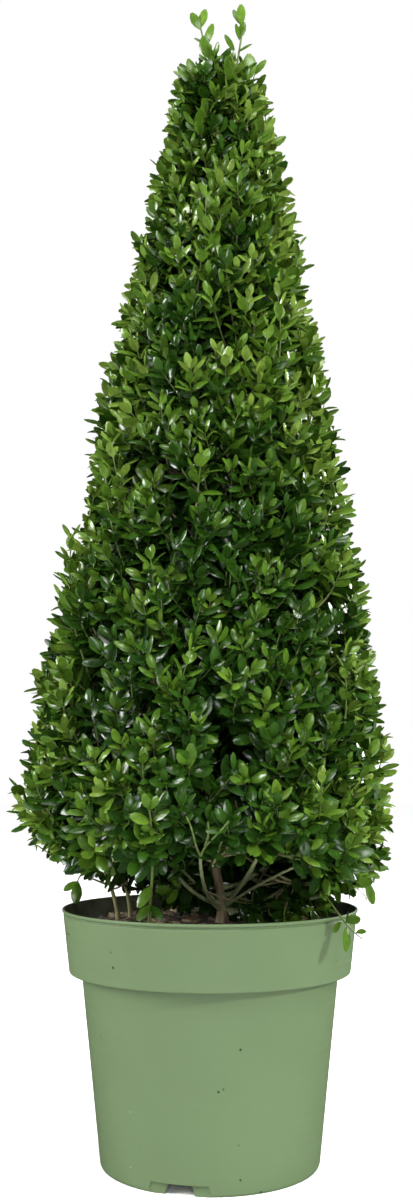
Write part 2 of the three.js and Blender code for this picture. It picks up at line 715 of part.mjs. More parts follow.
const topiary = new THREE.Group();
topiary.name = "potted_cone_topiary";
const container = new THREE.Group();
const wood = new THREE.Group();
const foliage = new THREE.Group();
topiary.add(container, wood, foliage);

function add(group, name, geometry, finish) {
  const mesh = new THREE.Mesh(geometry, new THREE.MeshStandardMaterial(finish));
  mesh.name = name;
  group.add(mesh);
}

// Adds a piece that leaves have to keep clear of.
function addBare(group, name, geometry, finish) {
  add(group, name, geometry, finish);
  addObstacle(toSolid(geometry.clone()));
}

addBare(container, "pot", makePot(), finishes.pot);
addBare(container, "soil", makeSoil(), finishes.soil);
addBare(wood, "trunk", makeTrunk(), finishes.bark);

const feeders = new Map();
for (const { name, feeds, azimuth, fork, reach, tip } of boughs) {
  const line = boughLine(azimuth, fork, onCrown(azimuth, reach, tip));
  feeders.set(feeds, line);
  addBare(wood, name, boughTube(line), finishes.bark);
}
for (const sideStem of sideStems) {
  const line = sideStemLine(sideStem);
  if (sideStem.feeds) feeders.set(sideStem.feeds, line);
  addBare(wood, sideStem.name, boughTube(line), finishes.bark);
}
const trailingLine = boughLine(trailing.azimuth, trailing.fork, vector(...trailing.tip));
addBare(wood, "bough_trailing", boughTube(trailingLine), finishes.bark);

const trailingAlong = trailingLine.getTangentAt(1);
const overRimFoot = trailingLine.getPointAt(1).addScaledVector(trailingAlong, SEAT_GAP);
const overRimTwig = startSprig(overRimFoot, trailingAlong, overRim);
const frontTwig = startSprig(vector(...frontShoot.foot, SOIL_Z + SEAT_GAP), upward, frontShoot);
const begunMasses = tiers.flatMap(massesOf).map((mass) => startMass(mass, feeders));
add(foliage, "sprig_over_rim", finishSprig(overRimTwig, SPRIG_SEEDS.overRim), finishes.shoot);
add(foliage, "front_shoot", finishSprig(frontTwig, SPRIG_SEEDS.front), finishes.shoot);
for (const begun of begunMasses) add(foliage, begun.mass.name, finishMass(begun), finishes.leaf);

export default topiary;
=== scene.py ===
"""A clipped cone of small glossy evergreen leaves in a green nursery pot, dressed round its CAD solids.

Metres, +Z up. The origin is the centre of the pot's flat underside, and -Y is the front.
Azimuths are in degrees: 0 is the front, 90 the right, 180 the back and 270 the left.
"""
import math

import bmesh
import bpy
import numpy as np
from bpy.props import FloatProperty, FloatVectorProperty, IntProperty, PointerProperty
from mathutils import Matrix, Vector, noise


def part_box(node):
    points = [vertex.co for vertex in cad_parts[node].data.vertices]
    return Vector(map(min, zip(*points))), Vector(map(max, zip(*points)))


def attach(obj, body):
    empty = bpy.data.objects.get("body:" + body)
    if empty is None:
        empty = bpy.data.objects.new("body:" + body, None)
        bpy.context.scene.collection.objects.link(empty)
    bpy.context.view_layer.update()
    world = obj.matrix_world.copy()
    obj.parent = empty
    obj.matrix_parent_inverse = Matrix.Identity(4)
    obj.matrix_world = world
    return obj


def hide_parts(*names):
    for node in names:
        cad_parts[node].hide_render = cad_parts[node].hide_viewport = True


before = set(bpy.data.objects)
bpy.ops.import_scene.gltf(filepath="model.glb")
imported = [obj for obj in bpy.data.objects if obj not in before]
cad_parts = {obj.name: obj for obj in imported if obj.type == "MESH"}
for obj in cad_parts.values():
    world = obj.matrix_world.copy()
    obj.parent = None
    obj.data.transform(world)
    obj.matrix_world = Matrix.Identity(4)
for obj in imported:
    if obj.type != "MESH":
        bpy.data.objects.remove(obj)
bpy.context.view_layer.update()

bl_info = {
    "name": "Potted Cone Topiary",
    "version": (1, 0, 0),
    "blender": (4, 5, 0),
    "location": "3D View > Sidebar > Topiary",
    "description": "Grows a clipped evergreen cone in a nursery pot and sets a plain studio round it",
    "category": "Add Mesh",
}

BODY = "root"
UP = Vector((0, 0, 1))
BLACK = (0, 0, 0)
WHITE = (1, 1, 1)
GOLDEN_ANGLE = 137.508

# Seeds of the chance in each kind of growth
SEEDS = {
    "limbs": 7,
    "face": 11,
    "runners": 13,
    "inside": 17,
    "low": 19,
    "sprigs": 23,
    "low sprays": 29,
    "cap": 31,
    "chips": 41,
    "fallen leaves": 43,
}


# Numbers and curves


def millimetres(*places):
    return [Vector(place) / 1000 for place in places]


def lerp(a, b, share):
    return a + (b - a) * share


def clamp(value, low, high):
    return max(low, min(high, value))


def smoothstep(value, low, high):
    share = clamp((value - low) / (high - low), 0, 1)
    return share * share * (3 - 2 * share)


def bell(distance, width):
    """1 at no distance, falling off to 0 on both sides."""
    return math.exp(-((distance / width) ** 2))


def near(azimuth, middle, width):
    """1 at an azimuth, falling off to 0 on both sides of it."""
    return bell((azimuth - middle + 180) % 360 - 180, width)


def around(radius, turn):
    return radius * math.cos(turn), radius * math.sin(turn)


def square_to(direction, along):
    """A direction, turned square to another one."""
    return (direction - along * direction.dot(along)).normalized()


def rough_noise(place, octaves):
    return noise.fractal(place, 1.0, 2.0, octaves)


def seeded(kind):
    """A repeatable stream of numbers from 0 to 1 for each kind of growth."""
    state = SEEDS[kind]

    def draw():
        nonlocal state
        state = (state + 0x6D2B79F5) & 0xFFFFFFFF
        mixed = ((state ^ (state >> 15)) * (state | 1)) & 0xFFFFFFFF
        mixed ^= (mixed + (mixed ^ (mixed >> 7)) * (mixed | 61)) & 0xFFFFFFFF
        return (mixed ^ (mixed >> 14)) / 4294967296

    return draw


def swing(width, random):
    """A step by chance to either side, over a width in all."""
    return width * (random() - 0.5)


def curve(points, steps):
    """Points along a Bezier curve with any number of control points."""
    line = []
    for i in range(steps + 1):
        share = i / steps
        level = [Vector(point) for point in points]
        while len(level) > 1:
            level = [a.lerp(b, share) for a, b in zip(level, level[1:])]
        line.append(level[0])
    return line


def back_from_tip(line, distance):
    """The point of a line at a distance back from its end, and the line's direction there."""
    for i in range(len(line) - 1, 0, -1):
        step = line[i] - line[i - 1]
        if distance <= step.length or i == 1:
            ahead = step.normalized()
            return line[i] - ahead * min(distance, step.length), ahead
        distance -= step.length


def length_of(line):
    return sum((b - a).length for a, b in zip(line, line[1:]))


# Outline of the crown and the trunk, as in the solids

# Clipped outline of the crown
CROWN_TOP_Z = 0.940
CROWN_TOP_RADIUS = 0.038
SKIRT_WIDEST_Z = 0.270
SKIRT_RADIUS = 0.157
SKIRT_LOW_Z = 0.214
SKIRT_LOW_RADIUS = 0.118
OUTLINE_BULGE = 0.007
AXIS_LEAN = 0.02
AXIS_UPRIGHT_Z = 0.5

# Trunk
SOIL_Z = 0.185
TRUNK_SINK = 0.003
TRUNK_FOOT_X = 0.010
TRUNK_TOP_Z = 0.750
TRUNK_STEPS = 120
TRUNK_STEP_POWER = 1.7
TRUNK_SIDES = 20
FOOT_SWEEP_HEIGHT = 0.060
WANDER = 0.0012
WANDERS_PER_METRE = 22
ROOT_FLARE = 0.0026
ROOT_FLARE_HEIGHT = 0.007
ROOT_LOBES = 3
ROOT_LOBE_TURN = 0.7
ROOT_LOBE_RELIEF = 0.30
ROOT_LOBE_HEIGHT = 0.012

# Boughs, each by the azimuth that it leaves the trunk at, the height of its fork and its reach
BOUGHS = {
    "front_left": (312, 0.200, 0.040),
    "front_right": (52, 0.206, 0.052),
    "right": (103, 0.212, 0.060),
    "back": (178, 0.203, 0.050),
}
BOUGH_TIP_Z = 0.234
BOUGH_LEVEL_SHARE = 0.4
BOUGH_STEPS = 26
BOUGH_SIDES = 12
BOUGH_TAPER = 0.75
COLLAR = 0.45
COLLAR_LENGTH = 0.006
TRAILING_FORK_Z = 0.1945
TRAILING_AZIMUTH = 62
TRAILING_TIP = (0.092, -0.050, 0.212)
# Side stems, each by its foot in the potting mix and its tip
SIDE_STEMS = {
    "left": ((-0.076, 0.016), (-0.092, 0.010, 0.234)),
    "left_inner": ((-0.066, 0.024), (-0.080, 0.026, 0.239)),
}
STEM_SINK = 0.002
STEM_UPRIGHT_SHARE = 0.35
# Thinner limbs from the fork: the points of each one's curve in millimetres, and its thickness
FORK_LIMBS = (
    (((7, -3, 196), (-4, -24, 205), (-8, -72, 228), (-7, -128, 247)), 0.85),
    (((13, -3, 200), (26, -24, 214), (28, -64, 228), (37, -110, 247)), 0.9),
    (((13, -2, 198), (28, -24, 211), (46, -52, 224), (68, -96, 238)), 0.7),
    (((16, -4, 192), (48, -20, 200), (68, -36, 218), (90, -56, 250)), 0.75),
    (((9, 3, 199), (-14, 12, 214), (-44, 22, 246)), 0.7),
)
# Bare twigs, in millimetres: those that the foremost limb forks into, and a dead one at the left
FRONT_TWIGS = (
    ((-7, -127, 246), (-12, -139, 254), (-11, -148, 264), (-17, -155, 275)),
    ((-7, -127, 246), (-4, -143, 256), (6, -148, 262), (13, -156, 272)),
    ((-4, -139, 254), (0, -148, 262), (-2, -154, 271)),
)
FRONT_TWIG_RADII = (0.0009, 0.0006)
DEAD_TWIG = ((-86, 12, 214), (-108, 4, 222), (-140, -14, 247))
DEAD_TWIG_THICKNESS = 0.38


def axis_x(z):
    return AXIS_LEAN * (z - AXIS_UPRIGHT_Z)


def clip_radius(z):
    if z < SKIRT_WIDEST_Z:
        down = min(1, (SKIRT_WIDEST_Z - z) / (SKIRT_WIDEST_Z - SKIRT_LOW_Z))
        return lerp(SKIRT_LOW_RADIUS, SKIRT_RADIUS, math.sqrt(1 - down * down))
    down = (CROWN_TOP_Z - z) / (CROWN_TOP_Z - SKIRT_WIDEST_Z)
    return lerp(CROWN_TOP_RADIUS, SKIRT_RADIUS, down) + OUTLINE_BULGE * math.sin(math.pi * max(0, down))


def outward(azimuth):
    turn = math.radians(azimuth)
    return Vector((math.sin(turn), -math.cos(turn), 0))


def aim(azimuth, rise):
    climb = math.radians(rise)
    return outward(azimuth) * math.cos(climb) + UP * math.sin(climb)


def on_crown(azimuth, radius, z):
    return outward(azimuth) * radius + Vector((axis_x(z), 0, z))


def trunk_point(z):
    sweep = bell(z - SOIL_Z, FOOT_SWEEP_HEIGHT)
    return Vector((axis_x(z) + (TRUNK_FOOT_X - axis_x(SOIL_Z)) * sweep, 0, z))


def bough_line(azimuth, fork, tip):
    """A limb's control points: it leaves the trunk level and then rises to its tip."""
    foot = trunk_point(fork)
    level = foot + outward(azimuth) * BOUGH_LEVEL_SHARE * (Vector(tip) - foot).length
    return [foot, level, Vector(tip)]


def bough_lines():
    """The control points of each bough and side stem."""
    lines = {}
    for sector, (azimuth, fork, reach) in BOUGHS.items():
        lines[sector] = bough_line(azimuth, fork, on_crown(azimuth, reach, BOUGH_TIP_Z))
    for name, ((x, y), tip) in SIDE_STEMS.items():
        foot = Vector((x, y, SOIL_Z - STEM_SINK))
        upright = Vector((x, y, lerp(SOIL_Z, tip[2], STEM_UPRIGHT_SHARE)))
        lines[name] = [foot, upright, Vector(tip)]
    lines["trailing"] = bough_line(TRAILING_AZIMUTH, TRAILING_FORK_Z, TRAILING_TIP)
    return lines


# Meshes


def mesh_of(name, points, faces, *materials):
    """A smooth mesh from an array of points and an array of faces with the same number of corners each."""
    points = np.asarray(points, np.float32)
    faces = np.asarray(faces, np.int32)
    count, corners = faces.shape
    mesh = bpy.data.meshes.new(name)
    mesh.vertices.add(len(points))
    mesh.vertices.foreach_set("co", points.ravel())
    mesh.loops.add(count * corners)
    mesh.loops.foreach_set("vertex_index", faces.ravel())
    mesh.polygons.add(count)
    mesh.polygons.foreach_set("loop_start", np.arange(0, count * corners, corners, dtype=np.int32))
    mesh.update(calc_edges=True)
    mesh.polygons.foreach_set("use_smooth", np.ones(count, bool))
    for material in materials:
        mesh.materials.append(material)
    return mesh


def closed_mesh(name, shape):
    """The mesh of a closed shape, with its faces turned outwards."""
    bmesh.ops.recalc_face_normals(shape, faces=shape.faces)
    mesh = bpy.data.meshes.new(name)
    shape.to_mesh(mesh)
    shape.free()
    return mesh


def add_object(name, data):
    thing = bpy.data.objects.new(name, data)
    bpy.context.scene.collection.objects.link(thing)
    return thing


def add_piece(mesh, slot, *nodes):
    """Puts a mesh into the scene as a piece of its name that stands for some of the CAD nodes."""
    piece = add_object(mesh.name, mesh)
    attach(piece, BODY)
    if nodes:
        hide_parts(*nodes)


def nodes_named(*starts):
    """The CAD nodes whose names start in one of some ways."""
    return [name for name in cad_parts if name.startswith(starts)]


def ring_faces(rings, sides, first=0):
    """Quads between successive rings of points."""
    faces = []
    for i in range(rings - 1):
        for j in range(sides):
            low = first + i * sides
            k = (j + 1) % sides
            faces.append((low + j, low + k, low + sides + k, low + sides + j))
    return faces


def tube_rings(line, radius_at, sides):
    """Rings of points round a line. radius_at gives the radius by the share of length and the turn."""
    rings = []
    total = length_of(line)
    travelled = 0
    across = (line[1] - line[0]).orthogonal().normalized()
    for i, point in enumerate(line):
        ahead = (line[min(i + 1, len(line) - 1)] - line[max(i - 1, 0)]).normalized()
        across = square_to(across, ahead)
        other = ahead.cross(across)
        if i:
            travelled += (point - line[i - 1]).length
        for j in range(sides):
            turn = math.tau * j / sides
            radius = radius_at(travelled / total, turn)
            rings.append(point + (across * math.cos(turn) + other * math.sin(turn)) * radius)
    return rings


def join_tubes(name, tubes, sides, material):
    """One mesh of many tubes, each given as its line and its radius rule."""
    points, faces = [], []
    for line, radius_at in tubes:
        faces += ring_faces(len(line), sides, len(points))
        points += tube_rings(line, radius_at, sides)
    return mesh_of(name, points, faces, material)


def tapering(start, end):
    return lambda share, turn: lerp(start, end, share)


# Materials


def shaded(colour, share):
    return tuple(channel * share for channel in colour)


def plain_material(name, colour, roughness, gloss):
    material = bpy.data.materials.new(name)
    material.use_nodes = True
    inputs = material.node_tree.nodes["Principled BSDF"].inputs
    inputs["Base Color"].default_value = (*colour, 1)
    inputs["Roughness"].default_value = roughness
    inputs["Specular IOR Level"].default_value = gloss
    return material


class Finish:
    """A procedural material over one colour, with short calls for wiring its nodes."""

    def __init__(self, name, colour, roughness, gloss=0.5):
        self.colour = tuple(colour)
        self.material = plain_material(name, colour, roughness, gloss)
        self.tree = self.material.node_tree
        self.place = self.tree.nodes.new("ShaderNodeTexCoord").outputs["Object"]

    def add(self, kind, **inputs):
        node = self.tree.nodes.new(kind)
        for key, value in inputs.items():
            socket = node.inputs[key.replace("_", " ")]
            if isinstance(value, bpy.types.NodeSocket):
                self.tree.links.new(value, socket)
            else:
                socket.default_value = value
        return node

    def stretched(self, *scale):
        return self.add("ShaderNodeMapping", Vector=self.place, Scale=scale).outputs["Vector"]

    def noise(self, scale, detail, place=None):
        node = self.add("ShaderNodeTexNoise", Vector=place or self.place, Scale=scale, Detail=detail)
        return node.outputs["Fac"]

    def ramp(self, value, *stops):
        """Colours by a value, each stop a position and a colour."""
        node = self.add("ShaderNodeValToRGB", Fac=value)
        elements = node.color_ramp.elements
        while len(elements) < len(stops):
            elements.new(0.5)
        for element, (position, colour) in zip(elements, stops):
            element.position = position
            element.color = (*colour, 1)
        return node.outputs["Color"]

    def tones(self, value, *stops):
        """Shades of the colour by a value, each stop a position and a share of the colour."""
        return self.ramp(value, *((position, shaded(self.colour, share)) for position, share in stops))

    def mix(self, share, a, b, blend="MIX"):
        node = self.tree.nodes.new("ShaderNodeMix")
        node.data_type = "RGBA"
        node.blend_type = blend
        for socket, value in ((node.inputs["Factor"], share), (node.inputs[6], a), (node.inputs[7], b)):
            if isinstance(value, bpy.types.NodeSocket):
                self.tree.links.new(value, socket)
            else:
                socket.default_value = value if isinstance(value, float) else (*value, 1)
        return node.outputs[2]

    def spread(self, value, low, high):
        return self.add("ShaderNodeMapRange", Value=value, To_Min=low, To_Max=high).outputs["Result"]

    def dots(self, scale, size, rarity, stretch):
        """Small scattered dots. Higher rarity leaves fewer of them."""
        place = self.stretched(*stretch)
        gaps = self.add("ShaderNodeTexVoronoi", Vector=place, Scale=float(scale)).outputs["Distance"]
        dot = self.ramp(gaps, (size, WHITE), (1.6 * size, BLACK))
        kept = self.ramp(self.noise(scale / 2, 2, place), (rarity, BLACK), (rarity + 0.04, WHITE))
        return self.mix(1.0, dot, kept, "MULTIPLY")

    def surface(self, colour, roughness, height, depth, strength=0.5):
        """Links the finished colour, roughness and relief to the shader, and gives the material."""
        bump = self.add("ShaderNodeBump", Strength=strength, Distance=depth, Height=height)
        inputs = self.tree.nodes["Principled BSDF"].inputs
        self.tree.links.new(colour, inputs["Base Color"])
        self.tree.links.new(roughness, inputs["Roughness"])
        self.tree.links.new(bump.outputs["Normal"], inputs["Normal"])
        return self.material


def pot_material(colour):
    """Moulded satin plastic with faint clouding, rubbed streaks, pale nicks and a few specks of dirt."""
    finish = Finish("satin_pot_plastic", colour, roughness=0.46, gloss=0.24)
    cloud = finish.tones(finish.noise(7, 4), (0.3, 0.93), (0.7, 1.06))
    rubbed = finish.noise(26, 5, finish.stretched(1, 1, 9))
    streaks = finish.ramp(rubbed, (0.62, BLACK), (0.78, WHITE))
    streaked = finish.mix(finish.spread(streaks, 0.0, 0.12), cloud, shaded(colour, 1.3))
    nicks = finish.dots(scale=52, size=0.05, rarity=0.60, stretch=(1, 1, 2.5))
    nicked = finish.mix(nicks, streaked, shaded(colour, 1.9))
    specks = finish.dots(scale=66, size=0.055, rarity=0.53, stretch=(1, 1, 1))
    dirty = finish.mix(specks, nicked, shaded(colour, 0.16))
    roughness = finish.spread(rubbed, 0.38, 0.56)
    return finish.surface(dirty, roughness, finish.noise(420, 2), depth=0.0002, strength=0.25)


def pot_inside_material(colour):
    """The inside of the rim, darkened with painted shade and dulled by splashed potting mix."""
    finish = Finish("splashed_pot_inside", colour, roughness=0.8)
    splash = finish.noise(60, 5)
    splashed = finish.tones(splash, (0.35, 0.5), (0.65, 1.5))
    return finish.surface(splashed, finish.spread(splash, 0.65, 0.95), splash, depth=0.0005)


def mix_material(colour):
    """Damp crumbly peat."""
    finish = Finish("damp_potting_mix", colour, roughness=0.95)
    crumb = finish.noise(190, 6)
    fibre = finish.noise(75, 4, finish.stretched(1, 4, 1))
    stops = ((0.3, 0.35), (0.5, 1), (0.72, 2.2))
    crumbly = finish.mix(0.4, finish.tones(crumb, *stops), finish.tones(fibre, *stops))
    return finish.surface(crumbly, finish.spread(crumb, 0.8, 1.0), crumb, depth=0.002, strength=0.9)


def bark_material(name, colour):
    """Thin grey-brown bark, furrowed along the limb."""
    finish = Finish(name, colour, roughness=0.85)
    furrow = finish.noise(420, 5, finish.stretched(1, 1, 0.22))
    patch = finish.noise(95, 3)
    along = finish.tones(furrow, (0.3, 0.4), (0.55, 1), (0.8, 1.6))
    patched = finish.mix(finish.spread(patch, 0.0, 0.55), along, shaded(colour, 0.62))
    roughness = finish.spread(furrow, 0.7, 0.95)
    return finish.surface(patched, roughness, furrow, depth=0.0006, strength=0.8)


def chip_material(name, colour):
    """A chip of composted bark with its grain."""
    finish = Finish(name, colour, roughness=0.9)
    grain = finish.noise(330, 4, finish.stretched(1, 0.3, 1))
    grained = finish.tones(grain, (0.3, 0.55), (0.7, 1.35))
    return finish.surface(grained, finish.spread(grain, 0.75, 0.95), grain, depth=0.0005)


def leaf_material(name, colour, gloss):
    """A waxy leaf with faint mottling and an uneven shine."""
    finish = Finish(name, colour, LEAF_ROUGHNESS, gloss)
    mottle = finish.noise(240, 4)
    mottled = finish.tones(mottle, (0.3, 0.80), (0.7, 1.20))
    shine = finish.spread(mottle, LEAF_ROUGHNESS - 0.06, LEAF_ROUGHNESS + 0.10)
    return finish.surface(mottled, shine, finish.noise(900, 3), depth=0.0002, strength=0.3)


def stem_material(name, colour, roughness):
    """A thin stem or a dry leaf, mottled all over."""
    finish = Finish(name, colour, roughness)
    mottle = finish.noise(320, 4)
    mottled = finish.tones(mottle, (0.3, 0.65), (0.7, 1.35))
    uneven = finish.spread(mottle, roughness - 0.1, roughness + 0.1)
    return finish.surface(mottled, uneven, mottle, depth=0.0003)


# Settings


def colour_setting(name, description, default):
    return FloatVectorProperty(
        name=name, description=description, default=default, subtype="COLOR", size=3, min=0, max=1
    )


def length_setting(name, description, default):
    return FloatProperty(
        name=name,
        description=description,
        default=default,
        subtype="DISTANCE",
        unit="LENGTH",
        min=0,
        precision=4,
    )


def share_setting(name, description, default):
    return FloatProperty(
        name=name, description=description, default=default, subtype="FACTOR", min=0, max=1
    )


def strength_setting(name, description, default, unit="NONE"):
    return FloatProperty(name=name, description=description, default=default, unit=unit, min=0)


def power_setting(name, description, default):
    return strength_setting(name, description, default, "POWER")


def count_setting(name, description, default):
    return IntProperty(name=name, description=description, default=default, min=1)


class PotSettings(bpy.types.PropertyGroup):
    """Sizes and colours of the pot and what fills it."""

    rim_radius: length_setting("Rim radius", "Outer radius of the lip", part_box("pot")[1].x)
    height: length_setting("Height", "Height of the pot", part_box("pot")[1].z)
    wall: length_setting("Wall", "Thickness of the plastic", 0.0022)
    colour: colour_setting("Pot", "Colour of the plastic", (0.0722, 0.1085, 0.0498))
    # The inside's colour is darkened with painted shade as well as by the splashed mix
    rim_inside_shade_and_colour: colour_setting("Inside", "Colour of the rim's splashed inside", (0.060, 0.070, 0.038))
    mix_level: length_setting("Mix level", "Height of the potting mix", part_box("soil")[1].z)
    mix_colour: colour_setting("Potting mix", "Colour of the potting mix", (0.032, 0.019, 0.011))
    chip_colour: colour_setting("Chips", "Colour of the bark chips", (0.105, 0.080, 0.046))
    chip_count: count_setting("Chips", "Number of bark chips", 520)
    fallen_colour: colour_setting("Dry leaves", "Colour of the fallen leaves", (0.150, 0.095, 0.045))
    fallen_count: count_setting("Dry leaves", "Number of fallen leaves", 34)


class WoodSettings(bpy.types.PropertyGroup):
    """Sizes and colours of the trunk, the boughs and the twigs."""

    trunk_radius: length_setting("Trunk", "Radius of the trunk above its root flare", 0.0039)
    trunk_tip_radius: length_setting("Trunk tip", "Radius of the trunk at its tip", 0.0018)
    limb_radius: length_setting("Bough", "Radius of a bough where it leaves the trunk", 0.0018)
    relief: share_setting("Bark relief", "Height of the bark's ridges, by radius", 0.16)
    bark_colour: colour_setting("Bark", "Colour of the bark", (0.190, 0.145, 0.078))
    # The boughs' olive bark is lightened with painted light against the shade under the crown
    bough_colour_painted_light: colour_setting("Boughs", "Colour of the thin bark on the boughs", (0.190, 0.225, 0.100))
    stem_colour: colour_setting("Side stems", "Colour of the side stems' bark", (0.150, 0.142, 0.058))
    twig_colour: colour_setting("Twigs", "Colour of woody twigs", (0.10, 0.085, 0.038))
    shoot_colour: colour_setting("Shoots", "Colour of soft green stems", (0.068, 0.103, 0.021))


class CrownSettings(bpy.types.PropertyGroup):
    """Count, size and colours of the shoots and leaves."""

    shoot_count: count_setting("Shoots", "Number of leafy shoots", 1850)
    inner_count: count_setting("Inner shoots", "Number of shoots deep inside", 400)
    low_count: count_setting("Low shoots", "Number of shoots under the skirt", 300)
    runner_count: count_setting("Long shoots", "Number of long upright shoots", 34)
    leaf_length: length_setting("Leaf length", "Mean length of a grown leaf", 0.0212)
    leaf_width: share_setting("Leaf width", "Width of a leaf, by length", 0.47)
    gloss: share_setting("Gloss", "Strength of the leaves' shine", 0.40)
    deep: colour_setting("Deep leaves", "Colour of old leaves inside the crown", (0.0078, 0.026, 0.0025))
    dark: colour_setting("Dark leaves", "Colour of old leaves", (0.0150, 0.044, 0.0036))
    mid: colour_setting("Leaves", "Colour of grown leaves", (0.038, 0.082, 0.0065))
    bright: colour_setting("Bright leaves", "Colour of this year's leaves", (0.064, 0.123, 0.0120))
    young: colour_setting("Young leaves", "Colour of the softest leaves", (0.092, 0.150, 0.020))


class StageSettings(bpy.types.PropertyGroup):
    """Floor, light and camera."""

    floor_colour: colour_setting("Floor", "Colour of the floor", (0.95, 0.95, 0.95))
    backdrop: strength_setting("Backdrop", "Brightness of the backdrop", 1.0)
    sky: strength_setting("Sky", "Strength of the even light all round", 0.55)
    sky_sheen: share_setting("Sky sheen", "Share of the sky that gloss mirrors", 0.12)
    overhead: strength_setting("Overhead", "Strength of the soft overhead light", 1.7)
    key_power: power_setting("Key", "Power of the light at the right", 60)
    left_power: power_setting("Left", "Power of the softbox at the left", 74)
    fill_power: power_setting("Fill", "Power of the low light in front", 20)
    top_power: power_setting("Top", "Power of the softbox overhead", 15)
    rim_power: power_setting("Rim", "Power of the softbox behind", 62)
    camera_height: length_setting("Camera height", "Height of the camera", 0.305)
    camera_distance: length_setting("Camera distance", "Distance of the camera from the pot", 1.030)
    camera_pitch: FloatProperty(
        name="Pitch",
        description="Upward tilt of the camera",
        default=math.radians(8),
        subtype="ANGLE",
        unit="ROTATION",
    )
    lens: strength_setting("Lens", "Focal length for a 36 mm tall frame", 36.93, "CAMERA")


class TopiarySettings(bpy.types.PropertyGroup):
    """All settings of the plant, its pot and the stage."""

    pot: PointerProperty(type=PotSettings)
    wood: PointerProperty(type=WoodSettings)
    crown: PointerProperty(type=CrownSettings)
    stage: PointerProperty(type=StageSettings)


# Pot

LIP_HEIGHT = 0.0027
# Corners of the groove under the lip, by inset from the rim, height from the lip's foot and easing
LIP_GROOVE = (
    (0.0011, -0.0017, 0.0005),
    (0.0021, -0.0011, 0.0003),
    (0.0021, -0.0001, 0.0003),
    (0.0002, 0.0006, 0.0005),
)
BAND_FOOT_Z = 0.1475
BAND_FOOT_RADIUS = 0.1134
BODY_TOP_RADIUS = 0.1036
FOOT_RADIUS = 0.087
FOOT_RING = 0.0044
BEVEL_WIDTH = 0.0012
BEVEL_HEIGHT = 0.0018
FLOOR_RAISE = 0.009
FLOOR_THICKNESS = 0.0025
FLOOR_SLANT = 0.001
HUB_RADIUS = 0.016
FOOT_EASE = 0.0006
FLOOR_EASE = 0.0008
BEVEL_EASE = 0.0009
EDGE_EASE = 0.0010
INSIDE_EASE = 0.003
INSIDE_STEP_EASE = 0.002
EASE_STEPS = 5
EDGE_HOLD = 0.0007
LONG_SIDE = 0.006
POT_SIDES = 160
SHARP_ANGLE = 40
SLOT_COUNT = 3
SLOT_AZIMUTH = -15.4
SLOT_WIDTH = 0.052
SLOT_HOLE_WIDTH = 0.0265
SLOT_HEIGHT = 0.0084
SLOT_HOLE_HEIGHT = 0.0070
SLOT_SLANT = 0.004
SLOT_RECESS = 0.0034
SLOT_HOLE_DEPTH = 0.013
SLOT_OVERSHOOT = 0.005


def rounded(corners):
    """A profile whose corners, given as radius, height and rounding, are eased by short curves.

    A point close to each curve's end keeps the shading of a long side flat up to its corner.
    """
    profile = []
    for i, (x, z, ease) in enumerate(corners):
        here = Vector((x, z, 0))
        if ease == 0:
            profile.append(here)
            continue
        before, after = (Vector((*corners[k][:2], 0)) - here for k in (i - 1, i + 1))
        start, end = here + before.normalized() * ease, here + after.normalized() * ease
        if before.length > LONG_SIDE:
            profile.append(start + before.normalized() * EDGE_HOLD)
        profile += curve([start, here, end], EASE_STEPS)
        if after.length > LONG_SIDE:
            profile.append(end + after.normalized() * EDGE_HOLD)
    return profile


def pot_profile(pot):
    """The pot's outline from the middle of its underside round the lip to the middle of its floor."""
    rim, top, wall = pot.rim_radius, pot.height, pot.wall
    lip = top - LIP_HEIGHT
    floor = FLOOR_RAISE + FLOOR_THICKNESS
    inner_foot = lerp(FOOT_RADIUS, BODY_TOP_RADIUS, floor / BAND_FOOT_Z) - wall
    corners = [
        (0, 0, 0),
        (HUB_RADIUS, 0, FOOT_EASE),
        (HUB_RADIUS + FLOOR_SLANT, FLOOR_RAISE, FLOOR_EASE),
        (FOOT_RADIUS - FOOT_RING - FLOOR_SLANT, FLOOR_RAISE, FLOOR_EASE),
        (FOOT_RADIUS - FOOT_RING, 0, FOOT_EASE),
        (FOOT_RADIUS - BEVEL_WIDTH, 0, FOOT_EASE),
        (FOOT_RADIUS, BEVEL_HEIGHT, BEVEL_EASE),
        (BODY_TOP_RADIUS, BAND_FOOT_Z, EDGE_EASE),
        (BAND_FOOT_RADIUS, BAND_FOOT_Z, EDGE_EASE),
        *((rim - inset, lip + rise, ease) for inset, rise, ease in LIP_GROOVE),
        (rim, top, EDGE_EASE),
        (rim - wall, top, EDGE_EASE),
        (BAND_FOOT_RADIUS - wall, BAND_FOOT_Z + wall, INSIDE_EASE),
        (BODY_TOP_RADIUS - wall, BAND_FOOT_Z + wall, INSIDE_STEP_EASE),
        (inner_foot, floor, INSIDE_EASE),
        (0, floor, 0),
    ]
    profile = rounded(corners)
    inner_edge = max(range(len(profile)), key=lambda i: (round(profile[i].y, 6), -profile[i].x))
    return profile, inner_edge


def turn_profile(profile, inner_edge, materials):
    """A turned mesh. Faces past the profile's inner edge get the second material."""
    shape = bmesh.new()
    turns = [math.tau * j / POT_SIDES for j in range(POT_SIDES)]
    rings = []
    for p in profile:
        ring = [(*around(p.x, turn), p.y) for turn in turns] if p.x else [(0, 0, p.y)]
        rings.append([shape.verts.new(place) for place in ring])
    for i, (low, high) in enumerate(zip(rings, rings[1:])):
        for j in range(POT_SIDES):
            k = (j + 1) % POT_SIDES
            corners = [low[j % len(low)], low[k % len(low)], high[k % len(high)], high[j % len(high)]]
            face = shape.faces.new(list(dict.fromkeys(corners)))
            face.material_index = 1 if i >= inner_edge else 0
            face.smooth = True
    mesh = closed_mesh("pot", shape)
    for material in materials:
        mesh.materials.append(material)
    return mesh


